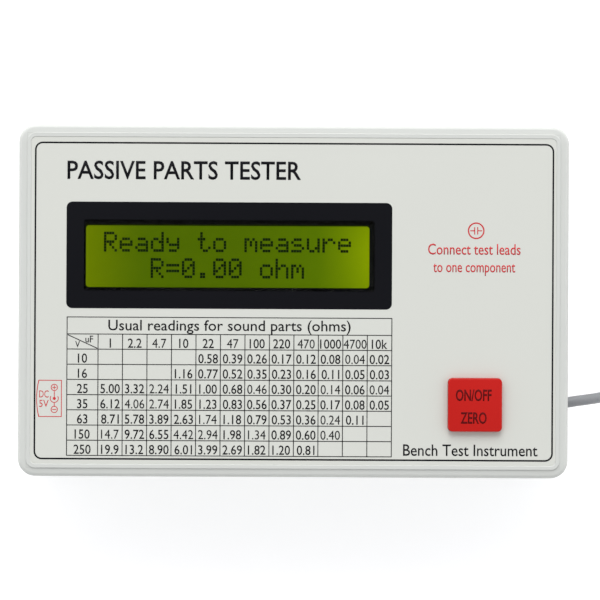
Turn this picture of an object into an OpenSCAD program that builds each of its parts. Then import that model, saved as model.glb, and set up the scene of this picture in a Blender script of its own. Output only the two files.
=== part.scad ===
// Handheld component tester: a two-part case, a display, one key and a pair of test probes.
// Lies face up: +X to the right of the face, +Y to its top edge, +Z out of the face.

/* [Case] */
// Width of the case
case_w = 125; // [122:1:160]
// Depth of the case
case_d = 80; // [78:1:110]
// Height of the bottom cover
base_h = 22.8; // [20:0.1:30]
// Height of the top cover
cover_h = 9.2; // [7.5:0.1:12]
// Radius of the case's upright corners
case_r = 4; // [3.4:0.1:7]
// Thickness of the side walls
wall = 2.2; // [1.8:0.1:2.8]
// Thickness of the floor
floor_t = 2.2; // [1.6:0.1:3]
// Thickness of the face under the recess
face_t = 2.2; // [1.5:0.1:2.8]
// Rounding of the top edge
edge_r = 1.0; // [0.6:0.1:1.4]
// Rounding of the bottom edge
base_edge_r = 1.5; // [0.8:0.1:2]
// Height of the tongue that centres the two covers
tongue_h = 1.5; // [1:0.1:2]
// Diameter of the screw columns
column_d = 8; // [7.4:0.1:9]
// Distance from the case's sides to the screw columns' axes
column_inset = 6.0; // [5.6:0.1:6.2]
// Diameter of the rubber feet
foot_d = 8; // [6:0.5:12]
// Height of the rubber feet
foot_h = 2.0; // [1.4:0.1:4]

/* [Face] */
// Distance from the case's sides to the recess for the overlay
recess_inset = 2.9; // [2.6:0.1:3.2]
// Depth of that recess
recess_depth = 0.55; // [0.4:0.05:1]
// Thickness of the overlay
overlay_t = 0.45; // [0.25:0.05:0.5]
// Width of the clear window
window_w = 66; // [65:0.5:68]
// Height of the clear window
window_h = 16.1; // [15:0.1:18]
// Window centre, right of the case's centre
window_x = -14.6; // [-16:0.1:-13]
// Window centre, above the case's centre
window_y = 10.3; // [9:0.1:12]

/* [Key] */
// Side of the square key
key_w = 12.3; // [10:0.1:15]
// Key centre, right of the case's centre
key_x = 41.3; // [38:0.1:43]
// Key centre, above the case's centre
key_y = -23.4; // [-24:0.1:-20]
// How far the key stands above the face
key_proud = 1.4; // [0.8:0.1:3]
// Diameter of the pusher under the key
pusher_d = 6; // [4:0.1:8]

/* [Display] */
// Display centre, right of the case's centre
lcd_x = -15; // [-16:0.1:-14]
// Display centre, above the case's centre
lcd_y = 10.15; // [9:0.05:11]
// Width of the display board
lcd_board_w = 80; // [78:0.5:84]
// Depth of the display board
lcd_board_d = 36; // [35:0.5:38]
// Width of the display bezel
bezel_w = 71.2; // [70:0.1:72]
// Depth of the display bezel
bezel_d = 25.2; // [24:0.1:26]
// Height of the bezel above its board
bezel_h = 8.5; // [7:0.1:10]
// Width of the viewing area
view_w = 64.5; // [60:0.1:65]
// Height of the viewing area
view_h = 14.5; // [13:0.1:16]

/* [Boards] */
// Thickness of both circuit boards
board_t = 1.6; // [1:0.1:2]
// Distance between the two boards
board_stack = 11; // [10.6:0.1:13]
// Diameter of the electrolytic capacitors
big_cap_d = 8; // [5:0.5:9]
// Diameter of the trimmer's rotor
rotor_d = 5.8; // [4:0.1:6.4]

/* [DC inlet] */
// Inlet centre, above the case's centre
jack_y = -22.3; // [-23:0.1:-20]
// Diameter of the hole in the wall
jack_hole_d = 8.5; // [7:0.1:9]
// Diameter of the socket's bore
jack_bore_d = 6.4; // [5.8:0.1:6.6]
// Diameter of the centre pin
jack_pin_d = 2.0; // [1.3:0.1:2.5]

/* [Test lead] */
// Diameter of the two-core cable
cable_d = 2.5; // [2:0.1:3]
// Cable centre, above the case's centre
cable_y = -23.4; // [-24:0.1:-20]
// Diameter of each single lead
lead_d = 2.0; // [1.4:0.1:2.2]
// Diameter of the probe handles
grip_d = 9.2; // [8:0.1:12]
// Diameter of the finger guards
guard_d = 13; // [12.5:0.1:14]
// Diameter of the probe tips
tip_d = 2.0; // [1.2:0.1:2.4]

/* [Hidden] */
$fn = 48;
small_fn = 20;
fine_fn = 240;
eps = 0.01;

// Clearances
fit = 0.1;
slide_fit = 0.2;
pin_fit = 0.05;

// Levels, from the surface that the feet stand on
foot_sink = 0.8;
z_base = foot_h - foot_sink;
z_floor = z_base + floor_t;
z_part = z_base + base_h;
z_top = z_part + cover_h;
z_recess = z_top - recess_depth;
z_overlay = z_recess + overlay_t;
z_under = z_recess - face_t;
bezel_gap = 0.35;
z_bezel = z_recess - bezel_gap;
z_lcd_top = z_bezel - bezel_h;
z_lcd = z_lcd_top - board_t;
z_board_top = z_lcd - board_stack;
z_board = z_board_top - board_t;

// Rim of the top cover
rim_step = 0.25;
rim_slope = 0.1;
rim_inset = 1.9;
rim_chamfer = 0.12;
z_shoulder = z_top - rim_step - rim_slope;
seam = 0.3;
tongue_inset = 1.25;
groove_h = tongue_h + slide_fit;

// Screws that hold the covers together
column_x = case_w / 2 - column_inset;
column_y = case_d / 2 - column_inset;
boss_gap = 0.3;
boss_d = 2 * (column_inset - wall - boss_gap);
screw_d = 2.55;
screw_pilot_d = screw_d + pin_fit;
screw_way_d = 3.2;
screw_head_d = 5.6;
screw_head_h = 2;
screw_well_d = screw_head_d + 6 * fit;
screw_sink = 8;
screw_len = 20;
screw_bite = z_base + screw_sink + screw_len - z_part;
foot_x = case_w / 2 - 18;
foot_y = case_d / 2 - 12;

// Small screws that hold the boards
peg_d = 2.0;
peg_pilot_d = peg_d + fit;
peg_way_d = 2.5;
peg_head_d = 4.2;
peg_head_h = 1.6;
peg_len = 6;
peg_pilot_h = 5;
cross_w = 0.7;
cross_depth = 0.9;

// Display module
lcd_post_d = 5;
lcd_hole_inset = 2.5;
lcd_posts = [for (x = [-1, 1], y = [-1, 1])
    [lcd_x + x * (lcd_board_w / 2 - lcd_hole_inset), lcd_y + y * (lcd_board_d / 2 - lcd_hole_inset)]];
lcd_cut_gap = 0.4;
metal_t = 0.5;
bezel_tab_w = 2.4;
bezel_tab_h = 0.8;
bezel_tab_pitch = 28;
view_r = 0.5;
glass_t = 2.8;
strip_w = 2.0;
strip_gap = 0.6;
z_glass = z_bezel - metal_t - glass_t;
blob_d = 14;
blob_h = 1.3;
blob_x = 20;
window_r = 0.6;

// Pin strips between the boards
pin_pitch = 2.54;
pin_w = 0.6;
pin_hole_d = 1.0;
pin_tail = 1.5;
strip_pins = 16;
strip_depth = 2.5;
header_h = 2.5;
socket_h = board_stack - header_h;
header_inset = 1.8;
header_start = 8;
header_y = lcd_y + lcd_board_d / 2 - header_inset;
header_x = lcd_x - lcd_board_w / 2 + header_start + (strip_pins - 1) * pin_pitch / 2;
z_tail = z_board - pin_tail;

// Main board and what holds it
board_gap = 2.3;
board_w = case_w - 2 * (wall + board_gap);
board_column_gap = 2;
board_d = case_d - 2 * (column_inset + column_d / 2 + board_column_gap);
post_d = 6;
post_inset_x = 5;
post_inset_y = 6;
jack_l = 14.2;
jack_w = 9;
jack_h = 11;
jack_x = -case_w / 2 + wall + fit;
posts = [
    [-board_w / 2 + post_inset_x, board_d / 2 - post_inset_y],
    [board_w / 2 - post_inset_x, board_d / 2 - post_inset_y],
    [jack_x + jack_l + 8, -23.5],
    [board_w / 2 - post_inset_x, -4]
];

// DC inlet
jack_axis_h = 6.5;
jack_bore_l = 9.5;
jack_z = z_board_top + jack_axis_h;
jack_pin_set_back = 0.8;
jack_pin_cone = 0.5;
jack_tail_d = 1.4;
blade_t = 0.5;
blade_w = 0.8;
jack_blade_x = [jack_x + 6.5, jack_x + jack_l + blade_t / 2];
jack_pins = [for (x = jack_blade_x) [x, jack_y]];

// Key and switch
key_r = 0.9;
key_edge_r = 0.45;
key_play = 0.3;
key_flange_h = 1.6;
key_boss_d = key_w + 3.7;
key_boss_wall = 1.5;
key_boss_h = 5.5;
key_post_d = 5;
key_post_h = 2.5;
z_key_top = z_overlay + key_proud;
z_flange = z_under - key_play;
switch_w = 6.2;
switch_h = 3.5;
switch_total_h = 5.0;
plunger_d = 3.4;
plunger_in = 1.5;
plunger_room = 0.5;
switch_pin_y = 2.25;
z_plunger = z_board_top + switch_total_h;
switch_pins = [for (x = [-1, 1], y = [-1, 1]) [key_x + x * (switch_w / 2 + blade_t / 2), key_y + y * switch_pin_y]];

// Board components: places right of and above the case's centre
chip_at = [-22, 10];
chip_pin_count = 28;
chip_row = 7.62;
chip_l = 35;
chip_body_w = 6.6;
chip_body_h = 3.2;
chip_socket_w = 10.2;
chip_socket_h = 4.2;
amp_at = [[10, 14.5], [10, 2.5]];
amp_pin_count = 8;
amp_l = 9.8;
leg_w = 0.5;
leg_t = 0.3;
chip_lift = 0.5;
crystal_at = [-46, 10];
crystal_w = 4.6;
crystal_l = 11;
crystal_h = 3.5;
crystal_pitch = 4.88;
big_cap_at = [[-28, -17], [-16, -17], [-4, -17]];
big_cap_h = 12;
big_cap_pitch = 3.5;
film_cap_at = [[19, 13], [19, 7.5], [19, 2]];
film_cap_size = [7.2, 3.5, 7.5];
film_cap_pitch = 5;
resistor_at = concat([for (i = [0:9]) [-40 + 3.5 * i, -3]], [for (i = [0:4]) [30 + 3.5 * i, -1]]);
resistor_l = 6.3;
resistor_d = 2.3;
resistor_pitch = 10.16;
diode_at = [[8, -13], [8, -18]];
diode_l = 5.2;
diode_d = 2.7;
wire_d = 0.6;
axial_h = 1.6;
regulator_at = [20, -16];
regulator_d = 4.8;
regulator_h = 4.6;
regulator_lift = 3;
regulator_pitch = 1.9;
trim_at = [36, 16];
trim_w = 7;
trim_h = 4;
rotor_sink = 1;
rotor_proud = 0.4;
rotor_stem_d = 2.3;
rotor_stem_h = 2;
rotor_slot_w = 0.8;

// Wire connector on the board
lead_header_at = [board_w / 2 - 8, -13];
lead_header_size = [7.6, 5.8, 7];
lead_header_wall = 0.8;
lead_header_floor = 1.2;
lead_pitch = 2.5;
lead_plug_h = 8.6;
lead_pins = in_row(lead_header_at, lead_pitch, 2, true);
plug_w = lead_header_size[0] - 2 * lead_header_wall - 2 * fit;
plug_l = lead_header_size[1] - 2 * lead_header_wall - 2 * fit;
z_plug = z_board_top + lead_header_floor;
pin_up = 5;

// Where the cable leaves the case
cable_rise = 2.8;
cable_z = z_board_top + cable_rise;
bush_d = 6;
bush_flange_d = 9;
bush_flange_t = 1.5;
bush_bore_d = cable_d + 4 * pin_fit;
tie_w = 2.5;
tie_t = 1.0;
tie_head = [tie_w, 4, 3.2];

// Every pin that passes through the main board
function in_row(at, pitch, count, along_x) = [for (i = [0:count - 1])
    let (t = (i - (count - 1) / 2) * pitch) along_x ? [at[0] + t, at[1]] : [at[0], at[1] + t]];
function dual_row(at, row, count, along_x) = concat(
    in_row(along_x ? [at[0], at[1] - row / 2] : [at[0] - row / 2, at[1]], pin_pitch, count / 2, along_x),
    in_row(along_x ? [at[0], at[1] + row / 2] : [at[0] + row / 2, at[1]], pin_pitch, count / 2, along_x));
strip_pin_at = in_row([header_x, header_y], pin_pitch, strip_pins, true);
chip_pin_at = dual_row(chip_at, chip_row, chip_pin_count, true);
amp_pin_at = [for (a = amp_at) dual_row(a, chip_row, amp_pin_count, false)];
board_pins = concat(
    strip_pin_at, chip_pin_at, [for (a = amp_pin_at) each a],
    in_row(crystal_at, crystal_pitch, 2, false),
    [for (a = big_cap_at) each in_row(a, big_cap_pitch, 2, true)],
    [for (a = film_cap_at) each in_row(a, film_cap_pitch, 2, true)],
    [for (a = resistor_at) each in_row(a, resistor_pitch, 2, false)],
    [for (a = diode_at) each in_row(a, resistor_pitch, 2, true)],
    in_row(regulator_at, regulator_pitch, 3, true),
    in_row(trim_at, lead_pitch, 3, true),
    lead_pins, jack_pins, switch_pins);

// Probes
grip_l = 62;
guard_t = 2.5;
neck_l = 14;
neck_d = 4.4;
tail_l = 10;
tail_d = 3.4;
tip_out = 18;
tip_in = 10;
tip_point = 8;
probe_y = 34;
red_probe_x = 135;
black_probe_x = 121;
probe_lift = 0.03;
probe_tilt = asin((guard_d - grip_d) / 2 / (grip_l + guard_t / 2));

// Cable: out of the bush, down to the table and into the coil
cable_route = [
    [53, -23.4, 14], [58, -23.4, 14], [63, -23.4, 14], [66.5, -22.95, 13.6], [70, -22.5, 12.4],
    [73.5, -22, 10.3], [77, -21.5, 7.7], [80.5, -21.1, 5.2], [84, -20.8, 3.1], [87, -20.6, 1.8],
    [90.5, -20.5, 1.35], [93.5, -20.5, 1.3]
];
coil_at = [93.5, -4];
coil_r = 16.5;
coil_turns_wide = 3;
coil_layers = 2;
coil_lift = 0.05;
cable_tail_route = [
    [93.5, 12.5, 3.8], [90, 12.7, 3.75], [86.6, 13.4, 3.3], [83.4, 15, 2.5], [80.9, 17.6, 1.8],
    [79.3, 20.8, 1.5], [78.8, 24.2, 1.8], [78.8, 27, 2.2]
];
splitter_l = 12;
splitter_w = 7.2;
splitter_h = 4.4;
splitter_gap = 2.4;
red_route = [
    [77.6, 39, 2.2], [77.6, 42.5, 1.6], [78.5, 46.6, 1.2], [81.2, 50, 1.1], [85.4, 51, 1.1],
    [89.4, 49.2, 1.1], [92, 45, 1.1], [93.8, 39.6, 1.1], [96, 34.2, 1.1], [99.8, 30.6, 1.1],
    [104.2, 31.4, 1.1], [107, 35, 1.1], [108.3, 39.6, 1.1], [109, 44.4, 1.1], [110.6, 48.8, 1.1],
    [114, 51.8, 1.1], [118.4, 52.9, 1.1], [123, 52.9, 1.1], [127.6, 52.4, 1.1], [131.6, 50.9, 1.4],
    [134.2, 48.6, 2.3], [135, 46.2, 3.5], [135, 44, 4.3]
];
black_route = [
    [80, 39, 2.2], [80.1, 42, 1.6], [81.4, 45.4, 1.2], [84.8, 47.4, 1.1], [88.3, 45.6, 1.1],
    [90.2, 41.6, 1.1], [91.8, 36, 1.1], [93.6, 30.4, 1.1], [96.8, 25.8, 1.1], [101.8, 23.4, 1.1],
    [106.8, 24.8, 1.1], [110, 29, 1.1], [111.4, 34.4, 1.1], [112, 39.6, 1.1], [112.3, 44, 1.1],
    [113.6, 47.6, 1.2], [116.6, 49.6, 1.5], [119.8, 48.7, 2.4], [121, 46.2, 3.5], [121, 44, 4.3]
];
wire_r = 0.55;
wire_route = [
    [53, -23.4, 14], [51.7, -23.2, 14.2], [51, -22, 15.4], [50.6, -20, 18.6], [50.3, -17.6, 21.6],
    [50.1, -15.2, 23.4], [50, -13.4, 23.2], [50, -13, 21]
];
tube_sides = 8;

// Case colours, as moulded
case_grey = [0.8, 0.81, 0.78];
metal_grey = [0.75, 0.76, 0.78];
board_green = [0.12, 0.38, 0.2];
lead_grey = [0.54, 0.55, 0.55];

// ---- Shared shapes ----

// Flat rectangle with round corners
module round_rect(w, d, r) {
    square([w - 2 * r, d], center = true);
    square([w, d - 2 * r], center = true);
    for (x = [-1, 1], y = [-1, 1]) {
        translate([x * (w / 2 - r), y * (d / 2 - r)]) circle(r);
    }
}

// Carries an edge profile round a rectangle; its x runs inwards from the side, 0 to r
module sweep_rim(w, d, r) {
    for (x = [0, 1], y = [0, 1]) {
        mirror([x, 0, 0]) mirror([0, y, 0])
            translate([w / 2 - r, d / 2 - r, 0])
                rotate_extrude(angle = 90) translate([r, 0]) mirror([1, 0]) children();
    }
    for (x = [0, 1]) {
        mirror([x, 0, 0]) translate([w / 2, 0, 0]) rotate([90, 0, 0])
            linear_extrude(d - 2 * r, center = true) mirror([1, 0]) children();
    }
    for (y = [0, 1]) {
        mirror([0, y, 0]) translate([0, d / 2, 0]) rotate([90, 0, 90])
            linear_extrude(w - 2 * r, center = true) mirror([1, 0]) children();
    }
}

// What a rounded top edge takes off a profile's corner at height z
module top_edge_cut(r, z) {
    difference() {
        translate([-r, z - r]) square([2 * r, 2 * r]);
        translate([r, z - r]) circle(r);
        translate([r, z - 2 * r]) square([r + eps, 4 * r]);
    }
}

// The same for a bottom edge
module bottom_edge_cut(r, z) {
    difference() {
        translate([-r, z - r]) square([2 * r, 2 * r]);
        translate([r, z + r]) circle(r);
        translate([r, z - 2 * r]) square([r + eps, 4 * r]);
    }
}

// Pan-head screw: head upwards from z = 0, shank downwards
module screw(head_d, head_h, shank_d, length) {
    difference() {
        union() {
            cylinder(h = head_h * 0.6, d = head_d);
            translate([0, 0, head_h * 0.6]) cylinder(h = head_h * 0.4, d1 = head_d, d2 = head_d * 0.75);
            translate([0, 0, -length + shank_d / 2]) cylinder(h = length - shank_d / 2, d = shank_d);
            translate([0, 0, -length]) cylinder(h = shank_d / 2, d1 = shank_d / 3, d2 = shank_d);
        }
        for (a = [0, 90]) {
            rotate([0, 0, a]) translate([0, 0, head_h])
                cube([head_d * 0.55, cross_w, 2 * cross_depth], center = true);
        }
    }
}

function unit(v) = v / norm(v);
function heading(path, i) = unit(path[min(i + 1, len(path) - 1)] - path[max(i - 1, 0)]);
function ring(p, t, r, ref) =
    let (s = unit(cross(t, ref)), u = cross(s, t))
    [for (k = [0:tube_sides - 1]) p + r * (cos(360 * k / tube_sides) * s + sin(360 * k / tube_sides) * u)];

// Tube along a list of points; ref is a direction that the route never takes
module tube(path, r, ref = [0, 0, 1]) {
    n = len(path);
    m = tube_sides;
    points = [for (i = [0:n - 1]) each ring(path[i], heading(path, i), r, ref)];
    sides = [for (i = [0:n - 2], k = [0:m - 1])
        [i * m + k, i * m + (k + 1) % m, (i + 1) * m + (k + 1) % m, (i + 1) * m + k]];
    ends = [[for (k = [m - 1:-1:0]) k], [for (k = [0:m - 1]) (n - 1) * m + k]];
    polyhedron(points, concat(sides, ends));
}

// Square pins through a board, from z1 up to z2
module square_pins(places, z1, z2) {
    for (p = places) {
        translate([p[0] - pin_w / 2, p[1] - pin_w / 2, z1]) cube([pin_w, pin_w, z2 - z1]);
    }
}

// Chip body with bent legs: along Y, or along X when turned
module dual_in_line(length, count, z_seat, z_foot) {
    translate([0, 0, z_seat + chip_body_h / 2]) cube([chip_body_w, length, chip_body_h], center = true);
    reach = (chip_row - chip_body_w) / 2 + leg_t / 2;
    for (i = [0:count / 2 - 1], s = [-1, 1]) {
        y = (i - (count / 2 - 1) / 2) * pin_pitch;
        translate([s * (chip_body_w / 2 + reach / 2), y, z_seat + chip_body_h / 2])
            cube([reach + 2 * eps, leg_w, leg_t], center = true);
        translate([s * chip_row / 2, y, (z_seat + chip_body_h / 2 + leg_t / 2 + z_foot) / 2])
            cube([leg_t, leg_w, z_seat + chip_body_h / 2 + leg_t / 2 - z_foot], center = true);
    }
}

// Part with a wire out of each end, bent down through the board; lies along X
module axial_part(length, body_d, pitch) {
    z = z_board_top + axial_h;
    translate([0, 0, z]) rotate([0, 90, 0]) {
        cylinder(h = length, d = body_d, center = true);
        cylinder(h = pitch + wire_d, d = wire_d, center = true, $fn = small_fn);
    }
    for (s = [-1, 1]) {
        translate([s * pitch / 2, 0, z_tail]) cylinder(h = z - z_tail, d = wire_d, $fn = small_fn);
    }
}

// ---- Case ----

module cover_profile() {
    groove_inset = tongue_inset - fit;
    difference() {
        polygon([
            [seam, z_part], [0, z_part + seam], [0, z_shoulder], [edge_r, z_shoulder],
            [rim_inset, z_shoulder + rim_slope], [rim_inset, z_top - rim_chamfer],
            [rim_inset + rim_chamfer, z_top], [recess_inset - rim_chamfer, z_top],
            [recess_inset, z_top - rim_chamfer], [recess_inset, z_recess], [case_r, z_recess],
            [case_r, z_under], [wall, z_under], [wall, z_part + groove_h],
            [groove_inset, z_part + groove_h], [groove_inset, z_part]
        ]);
        top_edge_cut(edge_r, z_shoulder);
    }
}

module base_profile() {
    difference() {
        polygon([
            [0, z_base], [0, z_part - seam], [seam, z_part], [tongue_inset, z_part],
            [tongue_inset, z_part + tongue_h], [wall, z_part + tongue_h], [wall, z_floor],
            [case_r, z_floor], [case_r, z_base]
        ]);
        bottom_edge_cut(base_edge_r, z_base);
    }
}

module at_columns() {
    for (x = [-1, 1], y = [-1, 1]) {
        translate([x * column_x, y * column_y, 0]) children();
    }
}

module at_feet() {
    for (x = [-1, 1], y = [-1, 1]) {
        translate([x * foot_x, y * foot_y, 0]) children();
    }
}

module bottom_cover() {
    color(case_grey) difference() {
        union() {
            sweep_rim(case_w, case_d, case_r) base_profile();
            translate([0, 0, z_base]) linear_extrude(floor_t)
                square([case_w - 2 * case_r, case_d - 2 * case_r], center = true);
            at_columns() translate([0, 0, z_base + eps]) cylinder(h = z_part - z_base - eps, d = column_d);
            for (p = posts) {
                translate([p[0], p[1], z_base + eps]) cylinder(h = z_board - z_base - eps, d = post_d);
            }
        }
        at_columns() {
            translate([0, 0, z_base - 1]) cylinder(h = screw_sink + 1, d = screw_well_d);
            translate([0, 0, z_base]) cylinder(h = base_h + 1, d = screw_way_d);
        }
        at_feet() translate([0, 0, z_base - 1]) cylinder(h = foot_sink + 1, d = foot_d + 2 * fit);
        for (p = posts) {
            translate([p[0], p[1], z_board - peg_pilot_h]) cylinder(h = peg_pilot_h + 1, d = peg_pilot_d);
        }
        translate([-case_w / 2 - 1, jack_y, jack_z]) rotate([0, 90, 0]) cylinder(h = wall + 2, d = jack_hole_d);
        translate([case_w / 2 - wall - 1, cable_y, cable_z]) rotate([0, 90, 0])
            cylinder(h = wall + 2, d = bush_d + 2 * pin_fit);
    }
}

module top_cover() {
    color(case_grey) difference() {
        union() {
            sweep_rim(case_w, case_d, case_r) cover_profile();
            translate([0, 0, z_under]) linear_extrude(face_t)
                square([case_w - 2 * case_r, case_d - 2 * case_r], center = true);
            at_columns() translate([0, 0, z_part]) cylinder(h = z_under - z_part + eps, d = boss_d);
            for (p = lcd_posts) {
                translate([p[0], p[1], z_lcd_top]) cylinder(h = z_under - z_lcd_top + eps, d = lcd_post_d);
            }
            translate([key_x, key_y, z_under - key_boss_h])
                cylinder(h = key_boss_h + eps, d = key_boss_d + 2 * key_boss_wall);
        }
        at_columns() translate([0, 0, z_part - 1]) cylinder(h = screw_bite + slide_fit + 1, d = screw_pilot_d);
        for (p = lcd_posts) {
            translate([p[0], p[1], z_lcd_top - 1]) cylinder(h = peg_pilot_h + 1, d = peg_pilot_d);
        }
        translate([key_x, key_y, z_under - key_boss_h - 1]) cylinder(h = key_boss_h + 1, d = key_boss_d);
        translate([key_x, key_y, z_under - 1]) linear_extrude(face_t + 2)
            round_rect(key_w + 2 * slide_fit, key_w + 2 * slide_fit, key_r + slide_fit);
        translate([lcd_x, lcd_y, z_under - 1]) linear_extrude(face_t + 2)
            square([bezel_w + 2 * lcd_cut_gap, bezel_d + 2 * lcd_cut_gap], center = true);
    }
}

module case_screws() {
    color(metal_grey) at_columns() translate([0, 0, z_base + screw_sink]) rotate([180, 0, 0])
        screw(screw_head_d, screw_head_h, screw_d, screw_len);
}

module rubber_feet() {
    chamfer = 0.5;
    color([0.12, 0.12, 0.12]) at_feet() {
        cylinder(h = chamfer, d1 = foot_d - 2 * chamfer, d2 = foot_d);
        translate([0, 0, chamfer]) cylinder(h = foot_h - chamfer, d = foot_d);
    }
}

// ---- Face ----

module face_overlay() {
    inset = recess_inset + fit;
    color([0.85, 0.86, 0.83]) translate([0, 0, z_recess]) linear_extrude(overlay_t) difference() {
        round_rect(case_w - 2 * inset, case_d - 2 * inset, case_r - inset);
        translate([window_x, window_y]) round_rect(window_w, window_h, window_r);
        translate([key_x, key_y]) round_rect(key_w + 2 * slide_fit, key_w + 2 * slide_fit, key_r + slide_fit);
    }
}

module display_window() {
    color([0.8, 0.9, 0.85, 0.4]) translate([window_x, window_y, z_recess]) linear_extrude(overlay_t)
        round_rect(window_w, window_h, window_r);
}

// ---- Key and switch ----

module key_cap() {
    color([0.8, 0.12, 0.1]) translate([key_x, key_y, 0]) difference() {
        union() {
            sweep_rim(key_w, key_w, key_r) difference() {
                translate([0, z_flange]) square([key_r, z_key_top - z_flange]);
                top_edge_cut(key_edge_r, z_key_top);
            }
            translate([0, 0, z_flange]) linear_extrude(z_key_top - z_flange)
                square(key_w - 2 * key_r, center = true);
        }
        translate([0, 0, z_flange - 1]) cylinder(h = key_post_h + fit + 1, d = key_post_d + pin_fit);
    }
}

module key_pusher() {
    color([0.9, 0.9, 0.88]) translate([key_x, key_y, 0]) {
        translate([0, 0, z_flange - eps]) cylinder(h = key_post_h + eps, d = key_post_d);
        translate([0, 0, z_flange - key_flange_h]) cylinder(h = key_flange_h, d = key_boss_d - 2 * slide_fit);
        translate([0, 0, z_plunger]) cylinder(h = z_flange - key_flange_h - z_plunger + eps, d = pusher_d);
    }
}

module switch_body() {
    color([0.1, 0.1, 0.1]) translate([key_x, key_y, z_board_top]) difference() {
        translate([0, 0, switch_h / 2]) cube([switch_w, switch_w, switch_h], center = true);
        translate([0, 0, switch_h - plunger_in - plunger_room])
            cylinder(h = switch_h, d = plunger_d + 2 * pin_fit);
    }
}

module switch_plunger() {
    z_low = z_board_top + switch_h - plunger_in;
    color([0.2, 0.2, 0.2]) translate([key_x, key_y, z_low]) cylinder(h = z_plunger - z_low, d = plunger_d);
}

module switch_terminals() {
    color(metal_grey) for (p = switch_pins) {
        translate([p[0], p[1], (z_tail + z_board_top + switch_h / 2) / 2])
            cube([blade_t, pin_w, z_board_top + switch_h / 2 - z_tail], center = true);
    }
}

// ---- Display module ----

module at_bezel_tabs() {
    for (x = [-1, 0, 1], y = [-1, 1]) {
        translate([lcd_x + x * bezel_tab_pitch, lcd_y + y * (bezel_d - metal_t) / 2, 0]) children();
    }
}

module lcd_bezel() {
    color([0.1, 0.1, 0.1]) difference() {
        union() {
            translate([lcd_x, lcd_y, z_lcd_top]) linear_extrude(bezel_h)
                square([bezel_w, bezel_d], center = true);
            at_bezel_tabs() translate([0, 0, z_lcd - bezel_tab_h / 2 + board_t / 2])
                cube([bezel_tab_w, metal_t, board_t + bezel_tab_h + 2 * eps], center = true);
        }
        translate([lcd_x, lcd_y, z_lcd_top - eps]) linear_extrude(bezel_h - metal_t + eps)
            square([bezel_w - 2 * metal_t, bezel_d - 2 * metal_t], center = true);
        translate([lcd_x, lcd_y, z_bezel - 2 * metal_t]) linear_extrude(3 * metal_t)
            round_rect(view_w, view_h, view_r);
    }
}

module lcd_glass() {
    gap = metal_t + fit;
    color([0.45, 0.6, 0.15]) translate([lcd_x, lcd_y, z_glass + glass_t / 2])
        cube([bezel_w - 2 * gap, bezel_d - 2 * gap, glass_t], center = true);
}

module lcd_backlight() {
    depth = bezel_d - 2 * (metal_t + strip_gap + strip_w + strip_gap);
    color([0.9, 0.95, 0.8]) translate([lcd_x, lcd_y, (z_lcd_top + z_glass) / 2])
        cube([view_w + 2, depth, z_glass - z_lcd_top], center = true);
}

module lcd_contact_strips() {
    y = bezel_d / 2 - metal_t - strip_gap - strip_w / 2;
    color([0.6, 0.5, 0.6]) for (s = [-1, 1]) {
        translate([lcd_x, lcd_y + s * y, (z_lcd_top + z_glass) / 2])
            cube([view_w, strip_w, z_glass - z_lcd_top], center = true);
    }
}

module lcd_board() {
    color(board_green) difference() {
        translate([lcd_x, lcd_y, z_lcd]) linear_extrude(board_t) square([lcd_board_w, lcd_board_d], center = true);
        for (p = lcd_posts) {
            translate([p[0], p[1], z_lcd - 1]) cylinder(h = board_t + 2, d = peg_way_d);
        }
        for (p = strip_pin_at) {
            translate([p[0], p[1], z_lcd - 1]) cylinder(h = board_t + 2, d = pin_hole_d, $fn = small_fn);
        }
        at_bezel_tabs() translate([0, 0, z_lcd + board_t / 2])
            cube([bezel_tab_w + 2 * slide_fit, metal_t + 2 * slide_fit, 2 * board_t], center = true);
    }
}

module lcd_driver_blobs() {
    ball_r = (blob_d * blob_d / 4 + blob_h * blob_h) / (2 * blob_h);
    color([0.08, 0.08, 0.08]) for (s = [-1, 1]) {
        translate([lcd_x + s * blob_x, lcd_y - pin_pitch, z_lcd]) intersection() {
            translate([0, 0, ball_r - blob_h]) sphere(ball_r, $fn = fine_fn);
            translate([0, 0, -blob_h]) cube([blob_d + 2, blob_d + 2, 2 * blob_h], center = true);
        }
    }
}

module lcd_screws() {
    color(metal_grey) for (p = lcd_posts) {
        translate([p[0], p[1], z_lcd]) rotate([180, 0, 0]) screw(peg_head_d, peg_head_h, peg_d, peg_len);
    }
}

module lcd_pin_header() {
    length = strip_pins * pin_pitch;
    color([0.15, 0.15, 0.15]) {
        translate([header_x, header_y, z_lcd - header_h / 2]) cube([length, strip_depth, header_h], center = true);
        square_pins(strip_pin_at, z_lcd - header_h - 6, z_lcd_top + 0.5);
    }
}

module lcd_socket() {
    length = strip_pins * pin_pitch;
    color([0.1, 0.1, 0.1]) difference() {
        union() {
            translate([header_x, header_y, z_board_top + socket_h / 2])
                cube([length, strip_depth, socket_h], center = true);
            square_pins(strip_pin_at, z_tail, z_board_top + eps);
        }
        for (p = strip_pin_at) {
            translate([p[0], p[1], z_board_top + socket_h]) cube([pin_hole_d, pin_hole_d, 13], center = true);
        }
    }
}

// ---- Main board ----

module main_board() {
    color(board_green) translate([0, 0, z_board]) linear_extrude(board_t) difference() {
        square([board_w, board_d], center = true);
        for (p = board_pins) {
            translate(p) circle(d = pin_hole_d, $fn = small_fn);
        }
        for (p = posts) {
            translate(p) circle(d = peg_way_d);
        }
    }
}

module board_screws() {
    color(metal_grey) for (p = posts) {
        translate([p[0], p[1], z_board_top]) screw(peg_head_d, peg_head_h, peg_d, peg_len);
    }
}

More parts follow.
